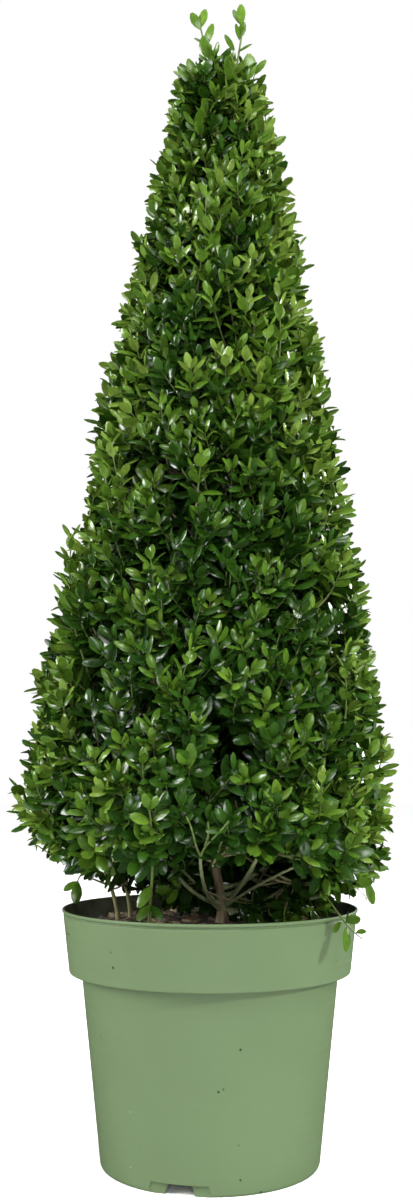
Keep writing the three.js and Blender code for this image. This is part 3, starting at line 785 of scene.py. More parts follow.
def slot_cutter(width, height, inner_radius, azimuth):
    """A sloping-sided block that cuts a drain slot into the foot."""
    half = width / 2
    outline = [
        (-half, -SLOT_OVERSHOOT),
        (half, -SLOT_OVERSHOOT),
        (half - SLOT_SLANT, height),
        (-half + SLOT_SLANT, height),
    ]
    shape = bmesh.new()
    ahead = outward(azimuth)
    across = UP.cross(ahead)
    ends = []
    for reach in (inner_radius, FOOT_RADIUS + SLOT_OVERSHOOT):
        ends.append([shape.verts.new(ahead * reach + across * x + UP * z) for x, z in outline])
    near_end, far_end = ends
    shape.faces.new(near_end)
    shape.faces.new(far_end[::-1])
    for i in range(len(outline)):
        k = (i + 1) % len(outline)
        shape.faces.new((near_end[k], near_end[i], far_end[i], far_end[k]))
    return add_object("slot_cutter", closed_mesh("slot_cutter", shape))


def cut_slots(mesh):
    """The pot's mesh with its drain slots cut, each a shallow recess with a hole through its middle."""
    blank = add_object("pot_blank", mesh)
    cutters = []
    for i in range(SLOT_COUNT):
        azimuth = SLOT_AZIMUTH + i * 360 / SLOT_COUNT
        hole_end = FOOT_RADIUS - SLOT_HOLE_DEPTH
        cutters.append(slot_cutter(SLOT_WIDTH, SLOT_HEIGHT, FOOT_RADIUS - SLOT_RECESS, azimuth))
        cutters.append(slot_cutter(SLOT_HOLE_WIDTH, SLOT_HOLE_HEIGHT, hole_end, azimuth))
    for cutter in cutters:
        cut = blank.modifiers.new("slot", "BOOLEAN")
        cut.operation = "DIFFERENCE"
        cut.solver = "EXACT"
        cut.object = cutter
    seen = blank.evaluated_get(bpy.context.evaluated_depsgraph_get())
    done = bpy.data.meshes.new_from_object(seen)
    for helper in [blank, *cutters]:
        bpy.data.objects.remove(helper)
    done.set_sharp_from_angle(angle=math.radians(SHARP_ANGLE))
    return done


class TOPIARY_OT_pot(bpy.types.Operator):
    """Turn the nursery pot and cut its drain slots"""

    bl_idname = "topiary.pot"
    bl_label = "Pot"

    def execute(self, context):
        pot = context.scene.topiary.pot
        materials = [pot_material(pot.colour), pot_inside_material(pot.rim_inside_shade_and_colour)]
        mesh = cut_slots(turn_profile(*pot_profile(pot), materials))
        mesh.name = "nursery_pot"
        add_piece(mesh, "pot_plastic", "pot")
        return {"FINISHED"}


# Potting mix

MIX_RINGS = 46
MIX_SIDES = 144
MIX_MIDDLE = 0.0004
MIX_GAP = 0.0006
MIX_EDGE_DEPTH = 0.02
MIX_SINK = 0.0012
WALL_SINK = 0.003
WALL_SINK_RADII = (0.09, 0.116)
LUMPS_PER_METRE = 45
LUMP_SLICE = 3.1
LUMP_HEIGHT = 0.0028
CHIP_REACH = 0.112
CHIP_LIFT = 0.0008
CHIP_TILT = 0.5
CHIP_BREAKS = ((0.7, 1.1), (0.5, 1.1), (0.6, 1.2))
CHIP_SHADES = (("brown_bark_chip", 1), ("dark_bark_chip", 0.4), ("pale_bark_chip", 1.9))
FALLEN_REACH = 0.106
FALLEN_LIFT = 0.0022


def mix_height(x, y, level):
    """Height of the crumbly surface, which sinks a little towards the wall."""
    place = Vector((x * LUMPS_PER_METRE, y * LUMPS_PER_METRE, LUMP_SLICE))
    lumps = rough_noise(place, 4) * LUMP_HEIGHT
    return level - MIX_SINK + lumps - WALL_SINK * smoothstep(math.hypot(x, y), *WALL_SINK_RADII)


def mix_mesh(pot):
    """The surface of the potting mix, with an edge that goes down the wall."""

    def reach_at(z):
        share = (z - BAND_FOOT_Z) / (pot.height - BAND_FOOT_Z)
        return lerp(BAND_FOOT_RADIUS, pot.rim_radius, share) - pot.wall - MIX_GAP

    turns = [math.tau * j / MIX_SIDES for j in range(MIX_SIDES)]
    low = pot.mix_level - MIX_EDGE_DEPTH
    points = []
    for i in range(MIX_RINGS + 1):
        radius = max(reach_at(pot.mix_level) * i / MIX_RINGS, MIX_MIDDLE)
        for x, y in (around(radius, turn) for turn in turns):
            points.append((x, y, mix_height(x, y, pot.mix_level)))
    points += [(*around(reach_at(low), turn), low) for turn in turns]
    faces = [face[::-1] for face in ring_faces(MIX_RINGS + 2, MIX_SIDES)]
    return mesh_of("potting_mix", points, faces, mix_material(pot.mix_colour))


def chip_mesh(pot, random):
    """Flat broken chips of bark that lie on the potting mix, in three browns."""
    corners = [(a, b, c) for c in (-1, 1) for a, b in ((-1, -1), (1, -1), (1, 1), (-1, 1))]
    sides = [(0, 3, 2, 1), (4, 5, 6, 7), (0, 1, 5, 4), (1, 2, 6, 5), (2, 3, 7, 6), (3, 0, 4, 7)]
    points, faces, kinds = [], [], []
    for _ in range(pot.chip_count):
        x, y = around(CHIP_REACH * math.sqrt(random()), math.tau * random())
        middle = Vector((x, y, mix_height(x, y, pot.mix_level) + CHIP_LIFT))
        along = Vector((*around(1, math.tau * random()), swing(CHIP_TILT, random))).normalized()
        across = UP.cross(along).normalized()
        face_up = along.cross(across)
        half_length = lerp(0.0022, 0.0085, random() ** 2)
        half_width = half_length * lerp(0.3, 0.65, random())
        half_height = lerp(0.0005, 0.0014, random())
        first = len(points)
        for a, b, c in corners:
            forth, aside, up = (lerp(*limits, random()) for limits in CHIP_BREAKS)
            points.append(
                middle
                + along * a * half_length * forth
                + across * b * half_width * aside
                + face_up * c * half_height * up
            )
        faces += [tuple(first + corner for corner in side) for side in sides]
        kinds += [int(len(CHIP_SHADES) * random())] * len(sides)
    browns = [chip_material(name, shaded(pot.chip_colour, share)) for name, share in CHIP_SHADES]
    mesh = mesh_of("bark_chips", points, faces, *browns)
    mesh.polygons.foreach_set("material_index", np.array(kinds, np.int32))
    mesh.polygons.foreach_set("use_smooth", np.zeros(len(faces), bool))
    return mesh


def fallen_leaves(pot, random):
    """Dry leaves that have dropped onto the potting mix."""
    leaves = []
    for _ in range(pot.fallen_count):
        x, y = around(FALLEN_REACH * math.sqrt(random()), math.tau * random())
        foot = Vector((x, y, mix_height(x, y, pot.mix_level) + FALLEN_LIFT))
        heading = around(1, math.tau * random())
        tilt = 0.5 * (random() - 0.3)
        along = Vector((*heading, tilt)).normalized()
        facing = UP + Vector((swing(1, random), swing(1, random), 0))
        length = lerp(0.011, 0.019, random())
        half = length * lerp(0.14, 0.24, random())
        arch, cup, curl = 0.06, 0.7 * random(), 0.3 * random()
        leaves.append(leaf_row(foot, along, facing, length, half, arch, cup, curl))
    dry = stem_material("dry_leaf", pot.fallen_colour, roughness=0.7)
    return leaf_mesh("fallen_leaves", leaves, dry)


class TOPIARY_OT_potting_mix(bpy.types.Operator):
    """Fill the pot with crumbly potting mix and strew bark chips and dry leaves on it"""

    bl_idname = "topiary.potting_mix"
    bl_label = "Potting mix"

    def execute(self, context):
        pot = context.scene.topiary.pot
        add_piece(mix_mesh(pot), "potting_mix", "soil")
        add_piece(chip_mesh(pot, seeded("chips")), "potting_mix")
        add_piece(fallen_leaves(pot, seeded("fallen leaves")), "potting_mix")
        return {"FINISHED"}


# Trunk and boughs

# Bark: how closely its furrows and knots follow each other round a limb and along it
FURROWS_ROUND = 1.6
FURROWS_ALONG = 9
KNOTS_ROUND = 0.6
KNOTS_ALONG = 17
KNOT_RELIEF = 0.8
# Where the bark of each kind of limb starts in the noise
TRUNK_BARK = 3
BOUGH_BARK = 20
FORK_LIMB_BARK = 40
DEAD_TWIG_BARK = 60


def barked(radius_at, relief, start):
    """A radius rule with the bark's furrows and knots added to a smooth one."""

    def radius(share, turn):
        furrow = rough_noise(Vector((*around(FURROWS_ROUND, turn), FURROWS_ALONG * share + start)), 3)
        knot = noise.noise(Vector((*around(KNOTS_ROUND, turn), KNOTS_ALONG * share + start)))
        return radius_at(share, turn) * (1 + relief * (furrow + KNOT_RELIEF * knot))

    return radius


def trunk_tube(wood):
    """The trunk's line and radius: it flares into lobed roots at its foot."""
    line = []
    for i in range(TRUNK_STEPS + 1):
        z = lerp(SOIL_Z - TRUNK_SINK, TRUNK_TOP_Z, (i / TRUNK_STEPS) ** TRUNK_STEP_POWER)
        wander = [noise.noise(Vector((track, 0, WANDERS_PER_METRE * z))) for track in (0, 5)]
        line.append(trunk_point(z) + Vector((*wander, 0)) * WANDER)
    total = length_of(line)

    def radius(share, turn):
        risen = share * total
        flare = ROOT_FLARE * math.exp(-risen / ROOT_FLARE_HEIGHT)
        relief = ROOT_LOBE_RELIEF * math.exp(-risen / ROOT_LOBE_HEIGHT)
        lobes = 1 + relief * math.cos(ROOT_LOBES * turn + ROOT_LOBE_TURN)
        return (lerp(wood.trunk_radius, wood.trunk_tip_radius, share) + flare) * lobes

    return line, barked(radius, wood.relief, TRUNK_BARK)


def bough_tube(points, wood, bark_start, thickness=1):
    """A bough's line and radius: it swells into a collar where it leaves the trunk."""
    line = curve(points, BOUGH_STEPS)
    total = length_of(line)

    def radius(share, turn):
        collar = 1 + COLLAR * math.exp(-share * total / COLLAR_LENGTH)
        return wood.limb_radius * thickness * lerp(1, BOUGH_TAPER, share) * collar

    return line, barked(radius, wood.relief, bark_start)


class TOPIARY_OT_wood(bpy.types.Operator):
    """Grow the trunk, the boughs, the limbs at the fork and the side stems with their bark"""

    bl_idname = "topiary.wood"
    bl_label = "Trunk and boughs"

    def execute(self, context):
        wood = context.scene.topiary.wood
        boughs, stems = [], []
        for i, (name, points) in enumerate(bough_lines().items()):
            (stems if name in SIDE_STEMS else boughs).append(bough_tube(points, wood, BOUGH_BARK + i))
        for i, (places, thickness) in enumerate(FORK_LIMBS):
            boughs.append(bough_tube(millimetres(*places), wood, FORK_LIMB_BARK + i, thickness))
        stems.append(bough_tube(millimetres(*DEAD_TWIG), wood, DEAD_TWIG_BARK, DEAD_TWIG_THICKNESS))
        bark = bark_material("furrowed_bark", wood.bark_colour)
        # Painted light: the boughs' bark is lighter than the side stems' to make up for the shade under the
        # crown
        thin_bark = bark_material("thin_bark", wood.bough_colour_painted_light)
        olive_bark = bark_material("olive_bark", wood.stem_colour)
        trunk_mesh = join_tubes("trunk_wood", [trunk_tube(wood)], TRUNK_SIDES, bark)
        bough_mesh = join_tubes("bough_wood", boughs, BOUGH_SIDES, thin_bark)
        stem_mesh = join_tubes("stem_wood", stems, BOUGH_SIDES, olive_bark)
        add_piece(trunk_mesh, "bark", "trunk")
        add_piece(bough_mesh, "bark", *nodes_named("bough_"))
        add_piece(stem_mesh, "bark", *nodes_named("stem_"))
        return {"FINISHED"}


# Leaves

TINTS = ("deep", "dark", "mid", "bright", "young")
LEAF_ROUGHNESS = 0.21
# Stations along a leaf, by the share of its length and of its half width
LEAF_STATIONS = ((0.09, 0.28), (0.28, 0.76), (0.53, 1.0), (0.78, 0.76), (0.96, 0.24))
NOTCH = 0.025
LEAF_HALF_WIDTHS = (0.42, 0.56)
# Ranges of a leaf's arch, cup and curl
LEAF_SHAPES = ((0.01, 0.09), (0.15, 0.85), (-0.06, 0.30))
LEAF_MIDDLE = 0.6
LEAF_LEAN = 0.14
LOST_LEAVES = 0.045
FULL_ORDERS = 2
DARKER_ORDERS = (1, 4)


def leaf_template():
    """Places of a leaf's points along it, across it and by the width there, and its triangles."""
    spots = [(0, 0, 0)]
    for forth, width in LEAF_STATIONS:
        notched = forth - NOTCH if forth == LEAF_STATIONS[-1][0] else forth
        spots += [(forth, -1, width), (notched, 0, width), (forth, 1, width)]
    faces = [(0, 2, 1), (0, 3, 2)]
    for i in range(len(LEAF_STATIONS) - 1):
        a = 1 + 3 * i
        faces += [(a, a + 1, a + 4), (a, a + 4, a + 3), (a + 1, a + 2, a + 5), (a + 1, a + 5, a + 4)]
    return np.array(spots, float), np.array(faces)


def leaf_row(foot, along, facing, length, half, arch, cup, curl):
    """A leaf as leaf_mesh takes it, with its upper side turned square to its direction."""
    return (*foot, *along, *square_to(facing, along), length, half, arch, cup, curl)


def leaf_mesh(name, leaves, material):
    """One mesh of many leaves, each given by its foot, direction, upper side, size, arch, cup and curl."""
    rows = np.array(leaves, float)
    foot, along, facing = rows[:, 0:3], rows[:, 3:6], rows[:, 6:9]
    length, half, arch, cup, curl = (rows[:, i, None] for i in range(9, 14))
    across = np.cross(facing, along)
    spots, triangles = leaf_template()
    t, s, w = spots.T
    forth = t * length
    side = s * w * half
    lift = length * (arch * 4 * t * (1 - t) - curl * t**3) - cup * np.abs(s) * w * half
    points = (
        foot[:, None]
        + forth[..., None] * along[:, None]
        + side[..., None] * across[:, None]
        + lift[..., None] * facing[:, None]
    )
    firsts = np.arange(len(rows))[:, None, None] * len(spots)
    return mesh_of(name, points.reshape(-1, 3), (firsts + triangles).reshape(-1, 3), material)


class Bush:
    """Twigs and leaves as they grow, kept apart by kind until they are joined into pieces."""

    def __init__(self, crown):
        self.crown = crown
        self.woody = []
        self.green = []
        self.leaves = {tint: [] for tint in TINTS}

    def leaf(self, tint, foot, along, facing, size, random):
        length = self.crown.leaf_length * size
        half = length * self.crown.leaf_width * lerp(*LEAF_HALF_WIDTHS, random())
        shape = [lerp(*limits, random()) for limits in LEAF_SHAPES]
        if not hides_fork(foot + along * length * LEAF_MIDDLE):
            self.leaves[tint].append(leaf_row(foot, along, facing, length, half, *shape))

    def leafy(self, line, pairs, tone, random):
        """Grows opposite pairs along a line, each given by distance from the tip, spread and size."""
        roll = math.tau * random()
        tip_ahead = (line[-1] - line[-2]).normalized()
        reference = tip_ahead.orthogonal().normalized()
        other = tip_ahead.cross(reference)
        for order, (distance, spread, size) in enumerate(pairs):
            foot, ahead = back_from_tip(line, distance)
            for side_turn in (0, math.pi):
                if random() < LOST_LEAVES * max(0, order - FULL_ORDERS):
                    continue
                turn = roll + order * math.pi / 2 + side_turn + swing(0.5, random)
                side = square_to(reference * math.cos(turn) + other * math.sin(turn), ahead)
                angle = math.radians(spread + swing(26, random))
                along = ahead * math.cos(angle) + side * math.sin(angle)
                facing = ahead * math.sin(angle) - side * math.cos(angle)
                open_air = Vector((foot.x - axis_x(foot.z), foot.y, 0)).normalized() + UP
                facing += open_air * LEAF_LEAN * random()
                darker = sum(order > step for step in DARKER_ORDERS)
                tint = TINTS[int(clamp(tone - darker, 0, len(TINTS) - 1))]
                self.leaf(tint, foot, along, facing, size * lerp(0.84, 1.14, random()), random)


# Crown: stems and limbs

# Tiers of leaf masses, each by its lower and upper height, the azimuth of its first mass and its masses
TIERS = ((0.214, 0.560, 36, 5), (0.560, 0.800, 62, 3), (0.800, 0.940, 0, 1))
TOP_TIER = len(TIERS) - 1
TIER_SLOPE = 0.6
TRUNK_HOLE = 0.012
SKIRT_SECTORS = ("front_right", "right", "back", "left", "front_left")
MASS_STEM_REACH = 0.5
MASS_STEM_RISE = 0.6
MASS_STEM_FOOT = 0.25
MASS_STEM_STEPS = 20
MASS_STEM_LEAFY = (0.4, 0.97)
MASS_STEM_RADII = (0.0017, 0.0013)

# Limbs inside the crown
LIMB_COUNT = 128
LIMB_LENGTH = 0.044
LIMB_TIP_DEPTH = 0.030
LIMB_STEPS = 12
LIMB_BARE_STEPS = 3
LIMB_RADII = (0.0013, 0.0008)

# Spots of the shoots' tips on the clipped face and its cap
EDGE_INSET = 0.012
SHOOT_RISE = 38
SKIRT_DROOP = -14
DROOP_END_Z = 0.320
CAP_SHARE = 0.02
CAP_RISE = 72
CAP_SINK = 0.022


def shoot_spot(k, count):
    """The spot of a shoot's tip: a golden-angle spiral winds up the clipped face and over its flat cap."""
    azimuth = (GOLDEN_ANGLE * k) % 360
    share = (k + 0.5) / count / (1 - CAP_SHARE)
    if share > 1:
        inward = (share - 1) / CAP_SHARE
        return azimuth, CROWN_TOP_RADIUS * math.sqrt(max(0, 1 - inward)), CROWN_TOP_Z - CAP_SINK, CAP_RISE
    here = math.sqrt(lerp(SKIRT_RADIUS**2, CROWN_TOP_RADIUS**2, share))
    up = (SKIRT_RADIUS - here) / (SKIRT_RADIUS - CROWN_TOP_RADIUS)
    z = lerp(SKIRT_LOW_Z + EDGE_INSET, CROWN_TOP_Z - EDGE_INSET, up)
    rise = lerp(SKIRT_DROOP, SHOOT_RISE, smoothstep(z, SKIRT_LOW_Z, DROOP_END_Z))
    return azimuth, clip_radius(z), z, rise


def tier_surface(face_z, radius):
    return face_z - TIER_SLOPE * (clip_radius(face_z) - radius)


def mass_stems():
    """The stem of each leaf mass, keyed by its tier and sector, grown from its bough's tip or the trunk."""
    boughs = bough_lines()
    stems = {}
    for tier, (low, top, turn, sectors) in enumerate(TIERS):
        for sector in range(sectors):
            azimuth = turn + sector * 360 / sectors
            if tier == 0:
                points = boughs[SKIRT_SECTORS[sector]]
                foot, along = points[2], (points[2] - points[1]).normalized()
            elif tier == TOP_TIER:
                foot, along = trunk_point(TRUNK_TOP_Z), UP
            else:
                z = lerp(tier_surface(low, TRUNK_HOLE), tier_surface(top, TRUNK_HOLE), MASS_STEM_FOOT)
                foot, along = trunk_point(z), outward(azimuth)
            end_z = lerp(low, top, MASS_STEM_RISE)
            reach = 0 if tier == TOP_TIER else MASS_STEM_REACH * clip_radius(end_z)
            end = on_crown(azimuth, reach, end_z)
            lead = foot + along * BOUGH_LEVEL_SHARE * (end - foot).length
            stems[tier, sector] = curve([foot, lead, end], MASS_STEM_STEPS)
    return stems


def owner_of(azimuth, z):
    """The tier and sector of the leaf mass that a spot belongs to."""
    tier = next(i for i, (_, top, _, _) in enumerate(TIERS) if z < top or i == TOP_TIER)
    _, _, turn, sectors = TIERS[tier]
    return tier, round((azimuth - turn) / (360 / sectors)) % sectors


def grow_limbs(stems, random):
    """The limbs inside the crown, from the stems of the leaf masses almost to the clipped face."""
    limbs = []
    for k in range(LIMB_COUNT):
        azimuth, radius, z, rise = shoot_spot(k, LIMB_COUNT)
        along = aim(azimuth + swing(30, random), rise + swing(18, random))
        tip = on_crown(azimuth, radius, z) - along * LIMB_TIP_DEPTH
        bend = tip - along * LIMB_LENGTH
        stem = stems[owner_of(azimuth, z)]
        share = clamp((bend.z - stem[0].z) / (stem[-1].z - stem[0].z), *MASS_STEM_LEAFY)
        limbs.append(curve([stem[round(share * MASS_STEM_STEPS)], bend, tip], LIMB_STEPS))
    return limbs


def nearest_points(lines):
    """A function that finds the point nearest to a place on some lines, clear of their feet."""
    points = np.array([point for line in lines for point in line[LIMB_BARE_STEPS:]])

    def nearest(place):
        gaps = ((points - np.array(place)) ** 2).sum(1)
        return Vector(points[int(gaps.argmin())])

    return nearest


# Crown: its ragged face, its tones with painted light and the space kept clear

# Raggedness of the clipped face
RAGGED_DEPTH = 0.0045
RAGGED_ROUND = 4
RAGGED_UP = 26
# Spots that stand out of the clipped face or are clipped deeper, by azimuth, height and how far
BUMPS = (
    (276, 0.528, -0.012),
    (276, 0.466, -0.008),
    (270, 0.895, 0.004),
    (277, 0.866, -0.006),
    (268, 0.386, 0.009),
    (268, 0.288, 0.014),
    (250, 0.330, 0.006),
    (277, 0.316, -0.005),
    (277, 0.702, -0.006),
    (270, 0.775, -0.006),
    (84, 0.258, 0.016),
    (84, 0.222, -0.008),
    (83, 0.345, -0.004),
    (83, 0.405, -0.004),
    (86, 0.476, 0.006),
    (83, 0.735, -0.007),
)
BUMP_WIDTH = 11
BUMP_HEIGHT = 0.022
# Sides that are clipped harder, by azimuth, depth and how much more for each metre below the undercut's top
SIDE_TRIMS = ((270, 0.0055, 0.75), (90, 0.0010, 0))
SIDE_TRIM_WIDTH = 55
UNDERCUT_Z = 0.284
# Hollows between the clumps of sprays
CLUMPS_PER_METRE = 23
HOLLOW_NOISE = (0.12, 0.42)
HOLLOW_DEPTH = 0.018
HOLLOW_SHARE = 0.8

# Lower edge of the skirt: where the space under it is open, and where its leaves hang lowest
OPEN_LEFT = (292, 48)
FULL_RIGHT = (78, 50)
OPEN_FRONT = (8, 30)
SKIRT_EDGE_Z = 0.238
SKIRT_EDGE_RAGGED = 0.014
SKIRT_EDGE_ROUND = 3
OPEN_LEFT_RISE = 0.016
OPEN_FRONT_RISE = 0.034
FULL_RIGHT_DROP = 0.020

# Tones of the sprays, with painted light: how much lighter they are dealt towards the top, the sides and
# the skirt, and between which heights or azimuths
TOP_PAINTED_LIGHT = 0.33
TOP_PAINTED_LIGHT_Z = (0.46, 0.66)
FLANK_PAINTED_LIGHT = 0.31
FLANK_PAINTED_LIGHT_TURN = (25, 75)
LOW_SKIRT_PAINTED_LIGHT = 0.14
LOW_SKIRT_PAINTED_LIGHT_Z = (0.25, 0.36)
TONE_STEPS = (0.57, 0.91, 1.08)

# Space in front of the fork that no shoot under the skirt grows into
FORK_SPACE_X = (-0.085, 0.068)
FORK_SPACE_BACK = 0.020
FORK_SPACE_Z = (0.204, 0.250)
# Window in the leaves that shows the fork, its limbs and the trunk's foot, and the stray leaves in it
WINDOW_LEFT = -0.020
WINDOW_RIGHTS = (0.020, 0.066)
WINDOW_RIGHT_Z = (0.196, 0.222)
WINDOW_BACK = 0.004
WINDOW_FOOT_Z = 0.186
WINDOW_TOP_Z = 0.247
WINDOW_RAGGED = 0.016
RAGS_ACROSS = 70
RAGS_DEEP = 40
WINDOW_DIP = 0.016
WINDOW_DIP_X = 0.006
WINDOW_DIP_WIDTH = 0.014
STRAY_LEAF_Z = 0.224
STRAYS_PER_METRE = 95
STRAY_NOISE = 0.12


def raggedness(azimuth, z):
    """How far the clipped face stands out or in at a spot."""
    ahead = outward(azimuth)
    place = Vector((RAGGED_ROUND * ahead.x, RAGGED_ROUND * ahead.y, RAGGED_UP * z))
    out = RAGGED_DEPTH * noise.noise(place)
    for middle, bump_z, height in BUMPS:
        out += height * near(azimuth, middle, BUMP_WIDTH) * bell(z - bump_z, BUMP_HEIGHT)
    for middle, trim, undercut in SIDE_TRIMS:
        out -= near(azimuth, middle, SIDE_TRIM_WIDTH) * (trim + undercut * max(0, UNDERCUT_Z - z))
    return out


def hollowness(azimuth, z):
    """1 in the dark hollows between clumps of sprays, 0 on the clumps."""
    place = on_crown(azimuth, clip_radius(z), z) * CLUMPS_PER_METRE
    return smoothstep(-noise.noise(place), *HOLLOW_NOISE)


def skirt_edge(azimuth):
    """Height of the skirt's ragged lower edge."""
    ahead = outward(azimuth)
    place = Vector((SKIRT_EDGE_ROUND * ahead.x, SKIRT_EDGE_ROUND * ahead.y, 0))
    ragged = SKIRT_EDGE_RAGGED * noise.noise(place)
    opened = OPEN_LEFT_RISE * near(azimuth, *OPEN_LEFT) + OPEN_FRONT_RISE * near(azimuth, *OPEN_FRONT)
    return SKIRT_EDGE_Z + opened - FULL_RIGHT_DROP * near(azimuth, *FULL_RIGHT) + ragged


def dealt_tone_with_painted_light(random, azimuth, z):
    """The tone of a spray, dealt by chance, with painted light that makes it lighter towards the top of the
    crown, away from its front and on the skirt.
    """
    turned = abs((azimuth + 180) % 360 - 180)
    deal = random() + TOP_PAINTED_LIGHT * smoothstep(z, *TOP_PAINTED_LIGHT_Z)
    deal += FLANK_PAINTED_LIGHT * smoothstep(turned, *FLANK_PAINTED_LIGHT_TURN)
    deal += LOW_SKIRT_PAINTED_LIGHT * (1 - smoothstep(z, *LOW_SKIRT_PAINTED_LIGHT_Z))
    return 1 + sum(deal > step for step in TONE_STEPS)


def lies_in(value, limits):
    return limits[0] < value < limits[1]


def before_fork(place):
    """Whether a place lies in the hollow in front of the trunk's fork, which is clear of shoots."""
    return lies_in(place.x, FORK_SPACE_X) and place.y < FORK_SPACE_BACK and lies_in(place.z, FORK_SPACE_Z)


def hides_fork(place):
    """Whether a leaf at a place would hide the fork, its limbs or the trunk's foot."""
    right = lerp(*WINDOW_RIGHTS, smoothstep(place.z, *WINDOW_RIGHT_Z))
    ragged = WINDOW_RAGGED * noise.noise(Vector((RAGS_ACROSS * place.x, RAGS_DEEP * place.y, 1)))
    top = WINDOW_TOP_Z - WINDOW_DIP * bell(place.x - WINDOW_DIP_X, WINDOW_DIP_WIDTH) + ragged
    is_stray = place.z > STRAY_LEAF_Z and noise.noise(place * STRAYS_PER_METRE) > STRAY_NOISE
    is_across = lies_in(place.x, (WINDOW_LEFT, right)) and lies_in(place.z, (WINDOW_FOOT_Z, top))
    return is_across and place.y < WINDOW_BACK and not is_stray


# Crown: shoots

# Leaf pairs of a short shoot
PAIR_COUNT = 8
PAIR_TIP_GAP = 0.0008
PAIR_FOOT_GAP = 0.004
LEAFY_LENGTH = 0.058
TIP_SPREAD = 18
ADDED_SPREAD = 50
SPREAD_START = 0.25
SPREAD_ORDERS = 2.5
TIP_LEAF_SIZE = 0.66
LEAF_SIZE_STEP = 0.15

# Shoots
TWIG_SIDES = 4
TWIG_STEPS = 10
TWIG_WOODY_STEPS = 5
TWIG_RADII = (0.0011, 0.0009)
SHOOT_RADII = (0.0009, 0.0004)
FACE_BEND_SHARE = 0.6
FACE_ROOT_INSET = 0.012
CAP_MIDDLE_SHOOTS = 16
CAP_MIDDLE_RADIUS = 0.026
CAP_MIDDLE_SINK = 0.015
INNER_LENGTH = 0.045
INNER_BEND = 0.024
INNER_LEAST_Z = 0.262
RUNNER_SPOTS = 1000
RUNNER_SPOTS_WITH_CAP = 1010
RUNNER_HIGHEST_Z = 0.86
RUNNER_TOP_GAP = 0.030
RUNNER_FOOT_DEPTH = 0.032
RUNNER_STEPS = 14
RUNNER_RADII = (0.0011, 0.0005)
RUNNER_PAIRS = 9

# Shoots under the skirt
LOW_EDGE_LIFT = 0.012
LOW_LEAST_Z = 0.207
LOW_RIGHT_DROP = 0.006
LOW_SLOPE_REACHES = (0.03, 0.135)
LOW_HEIGHT_SWING = 0.018
LOW_HEIGHT_DOWN = 0.3
LOW_LENGTH = 0.04
LOW_ROOT_RISE = 0.01
LOW_BEND = 0.022
BARE_LEFT_SHARE = 0.85
BARE_FRONT_SHARE = 0.3
# Tips of the sprays that hang low: right of the trunk, before its left bough and behind it, in millimetres
LOW_SPRAYS = (
    (34, -44, 197),
    (52, -50, 195),
    (70, -46, 199),
    (84, -36, 198),
    (60, -70, 193),
    (40, -18, 199),
    (92, -8, 199),
    (-23, -58, 230),
    (-30, -46, 214),
    (-44, -30, 220),
    (20, 60, 230),
    (26, 66, 217),
)
SPRAY_BEND = 0.02


def shoot_pairs(length, random):
    """Leaf pairs of a short shoot: close, small and upright at its tip, wider apart and spread below."""
    pairs = []
    distance = PAIR_TIP_GAP
    while distance < min(length - PAIR_FOOT_GAP, LEAFY_LENGTH) and len(pairs) < PAIR_COUNT:
        order = len(pairs)
        spread = TIP_SPREAD + ADDED_SPREAD * (1 - math.exp(-(order + SPREAD_START) / SPREAD_ORDERS))
        pairs.append((distance, spread, min(1, TIP_LEAF_SIZE + LEAF_SIZE_STEP * order)))
        spacing = lerp(0.0056, 0.0088, random())
        widening = 0.75 + 0.08 * min(order, 4)
        distance += spacing * widening
    return pairs


def grow_twig(bush, root, along, tip, bend_length, tone, random):
    """One leafy shoot from a limb to its tip, woody in its lower half."""
    if hides_fork(tip):
        return
    line = curve([root, tip - along * bend_length, tip], TWIG_STEPS)
    bush.woody.append((line[: TWIG_WOODY_STEPS + 1], tapering(*TWIG_RADII)))
    bush.green.append((line[TWIG_WOODY_STEPS:], tapering(*SHOOT_RADII)))
    bush.leafy(line, shoot_pairs(length_of(line), random), tone, random)


def grow_face(bush, nearest, count, random):
    """The leafy shoots that fill the crown up to its clipped face."""
    for k in range(count):
        azimuth, radius, z, rise = shoot_spot(k, count)
        azimuth += swing(8, random)
        heading = azimuth + swing(60, random)
        climb = max(rise, 12) + 8 + swing(52, random)
        along = aim(heading, climb)
        depth = lerp(0.006, 0.020, random())
        length = lerp(0.036, 0.062, random())
        hollow = hollowness(azimuth, z)
        if z < skirt_edge(azimuth) or random() < HOLLOW_SHARE * hollow:
            continue
        face = on_crown(azimuth, radius + raggedness(azimuth, z), z)
        tip = face - along * (depth + HOLLOW_DEPTH * hollow)
        root = nearest(tip - along * length - outward(azimuth) * FACE_ROOT_INSET)
        tone = dealt_tone_with_painted_light(random, azimuth, z)
        grow_twig(bush, root, along, tip, length * FACE_BEND_SHARE, tone, random)


def grow_cap(bush, nearest, random):
    """Upright shoots that close the middle of the flat cap."""
    for k in range(CAP_MIDDLE_SHOOTS):
        azimuth = (GOLDEN_ANGLE * k) % 360
        share = math.sqrt((k + 0.5) / CAP_MIDDLE_SHOOTS)
        along = aim(azimuth, lerp(86, 60, share))
        tip = on_crown(azimuth, CAP_MIDDLE_RADIUS * share, CROWN_TOP_Z - CAP_MIDDLE_SINK)
        root = nearest(tip - along * INNER_LENGTH)
        tone = lerp(2, 3.5, random())
        grow_twig(bush, root, along, tip, INNER_BEND, tone, random)


def grow_inside(bush, nearest, count, random):
    """Older shoots deep in the crown, which close it to the light."""
    for k in range(count):
        azimuth, radius, z, _ = shoot_spot(k, count)
        heading = azimuth + swing(140, random)
        climb = 25 + swing(80, random)
        along = aim(heading, climb)
        reach = radius * lerp(0.30, 0.74, random())
        tip = on_crown(azimuth, reach, max(z, INNER_LEAST_Z))
        root = nearest(tip - along * INNER_LENGTH)
        tone = lerp(0.5, 1.5, random())
        grow_twig(bush, root, along, tip, INNER_BEND, tone, random)


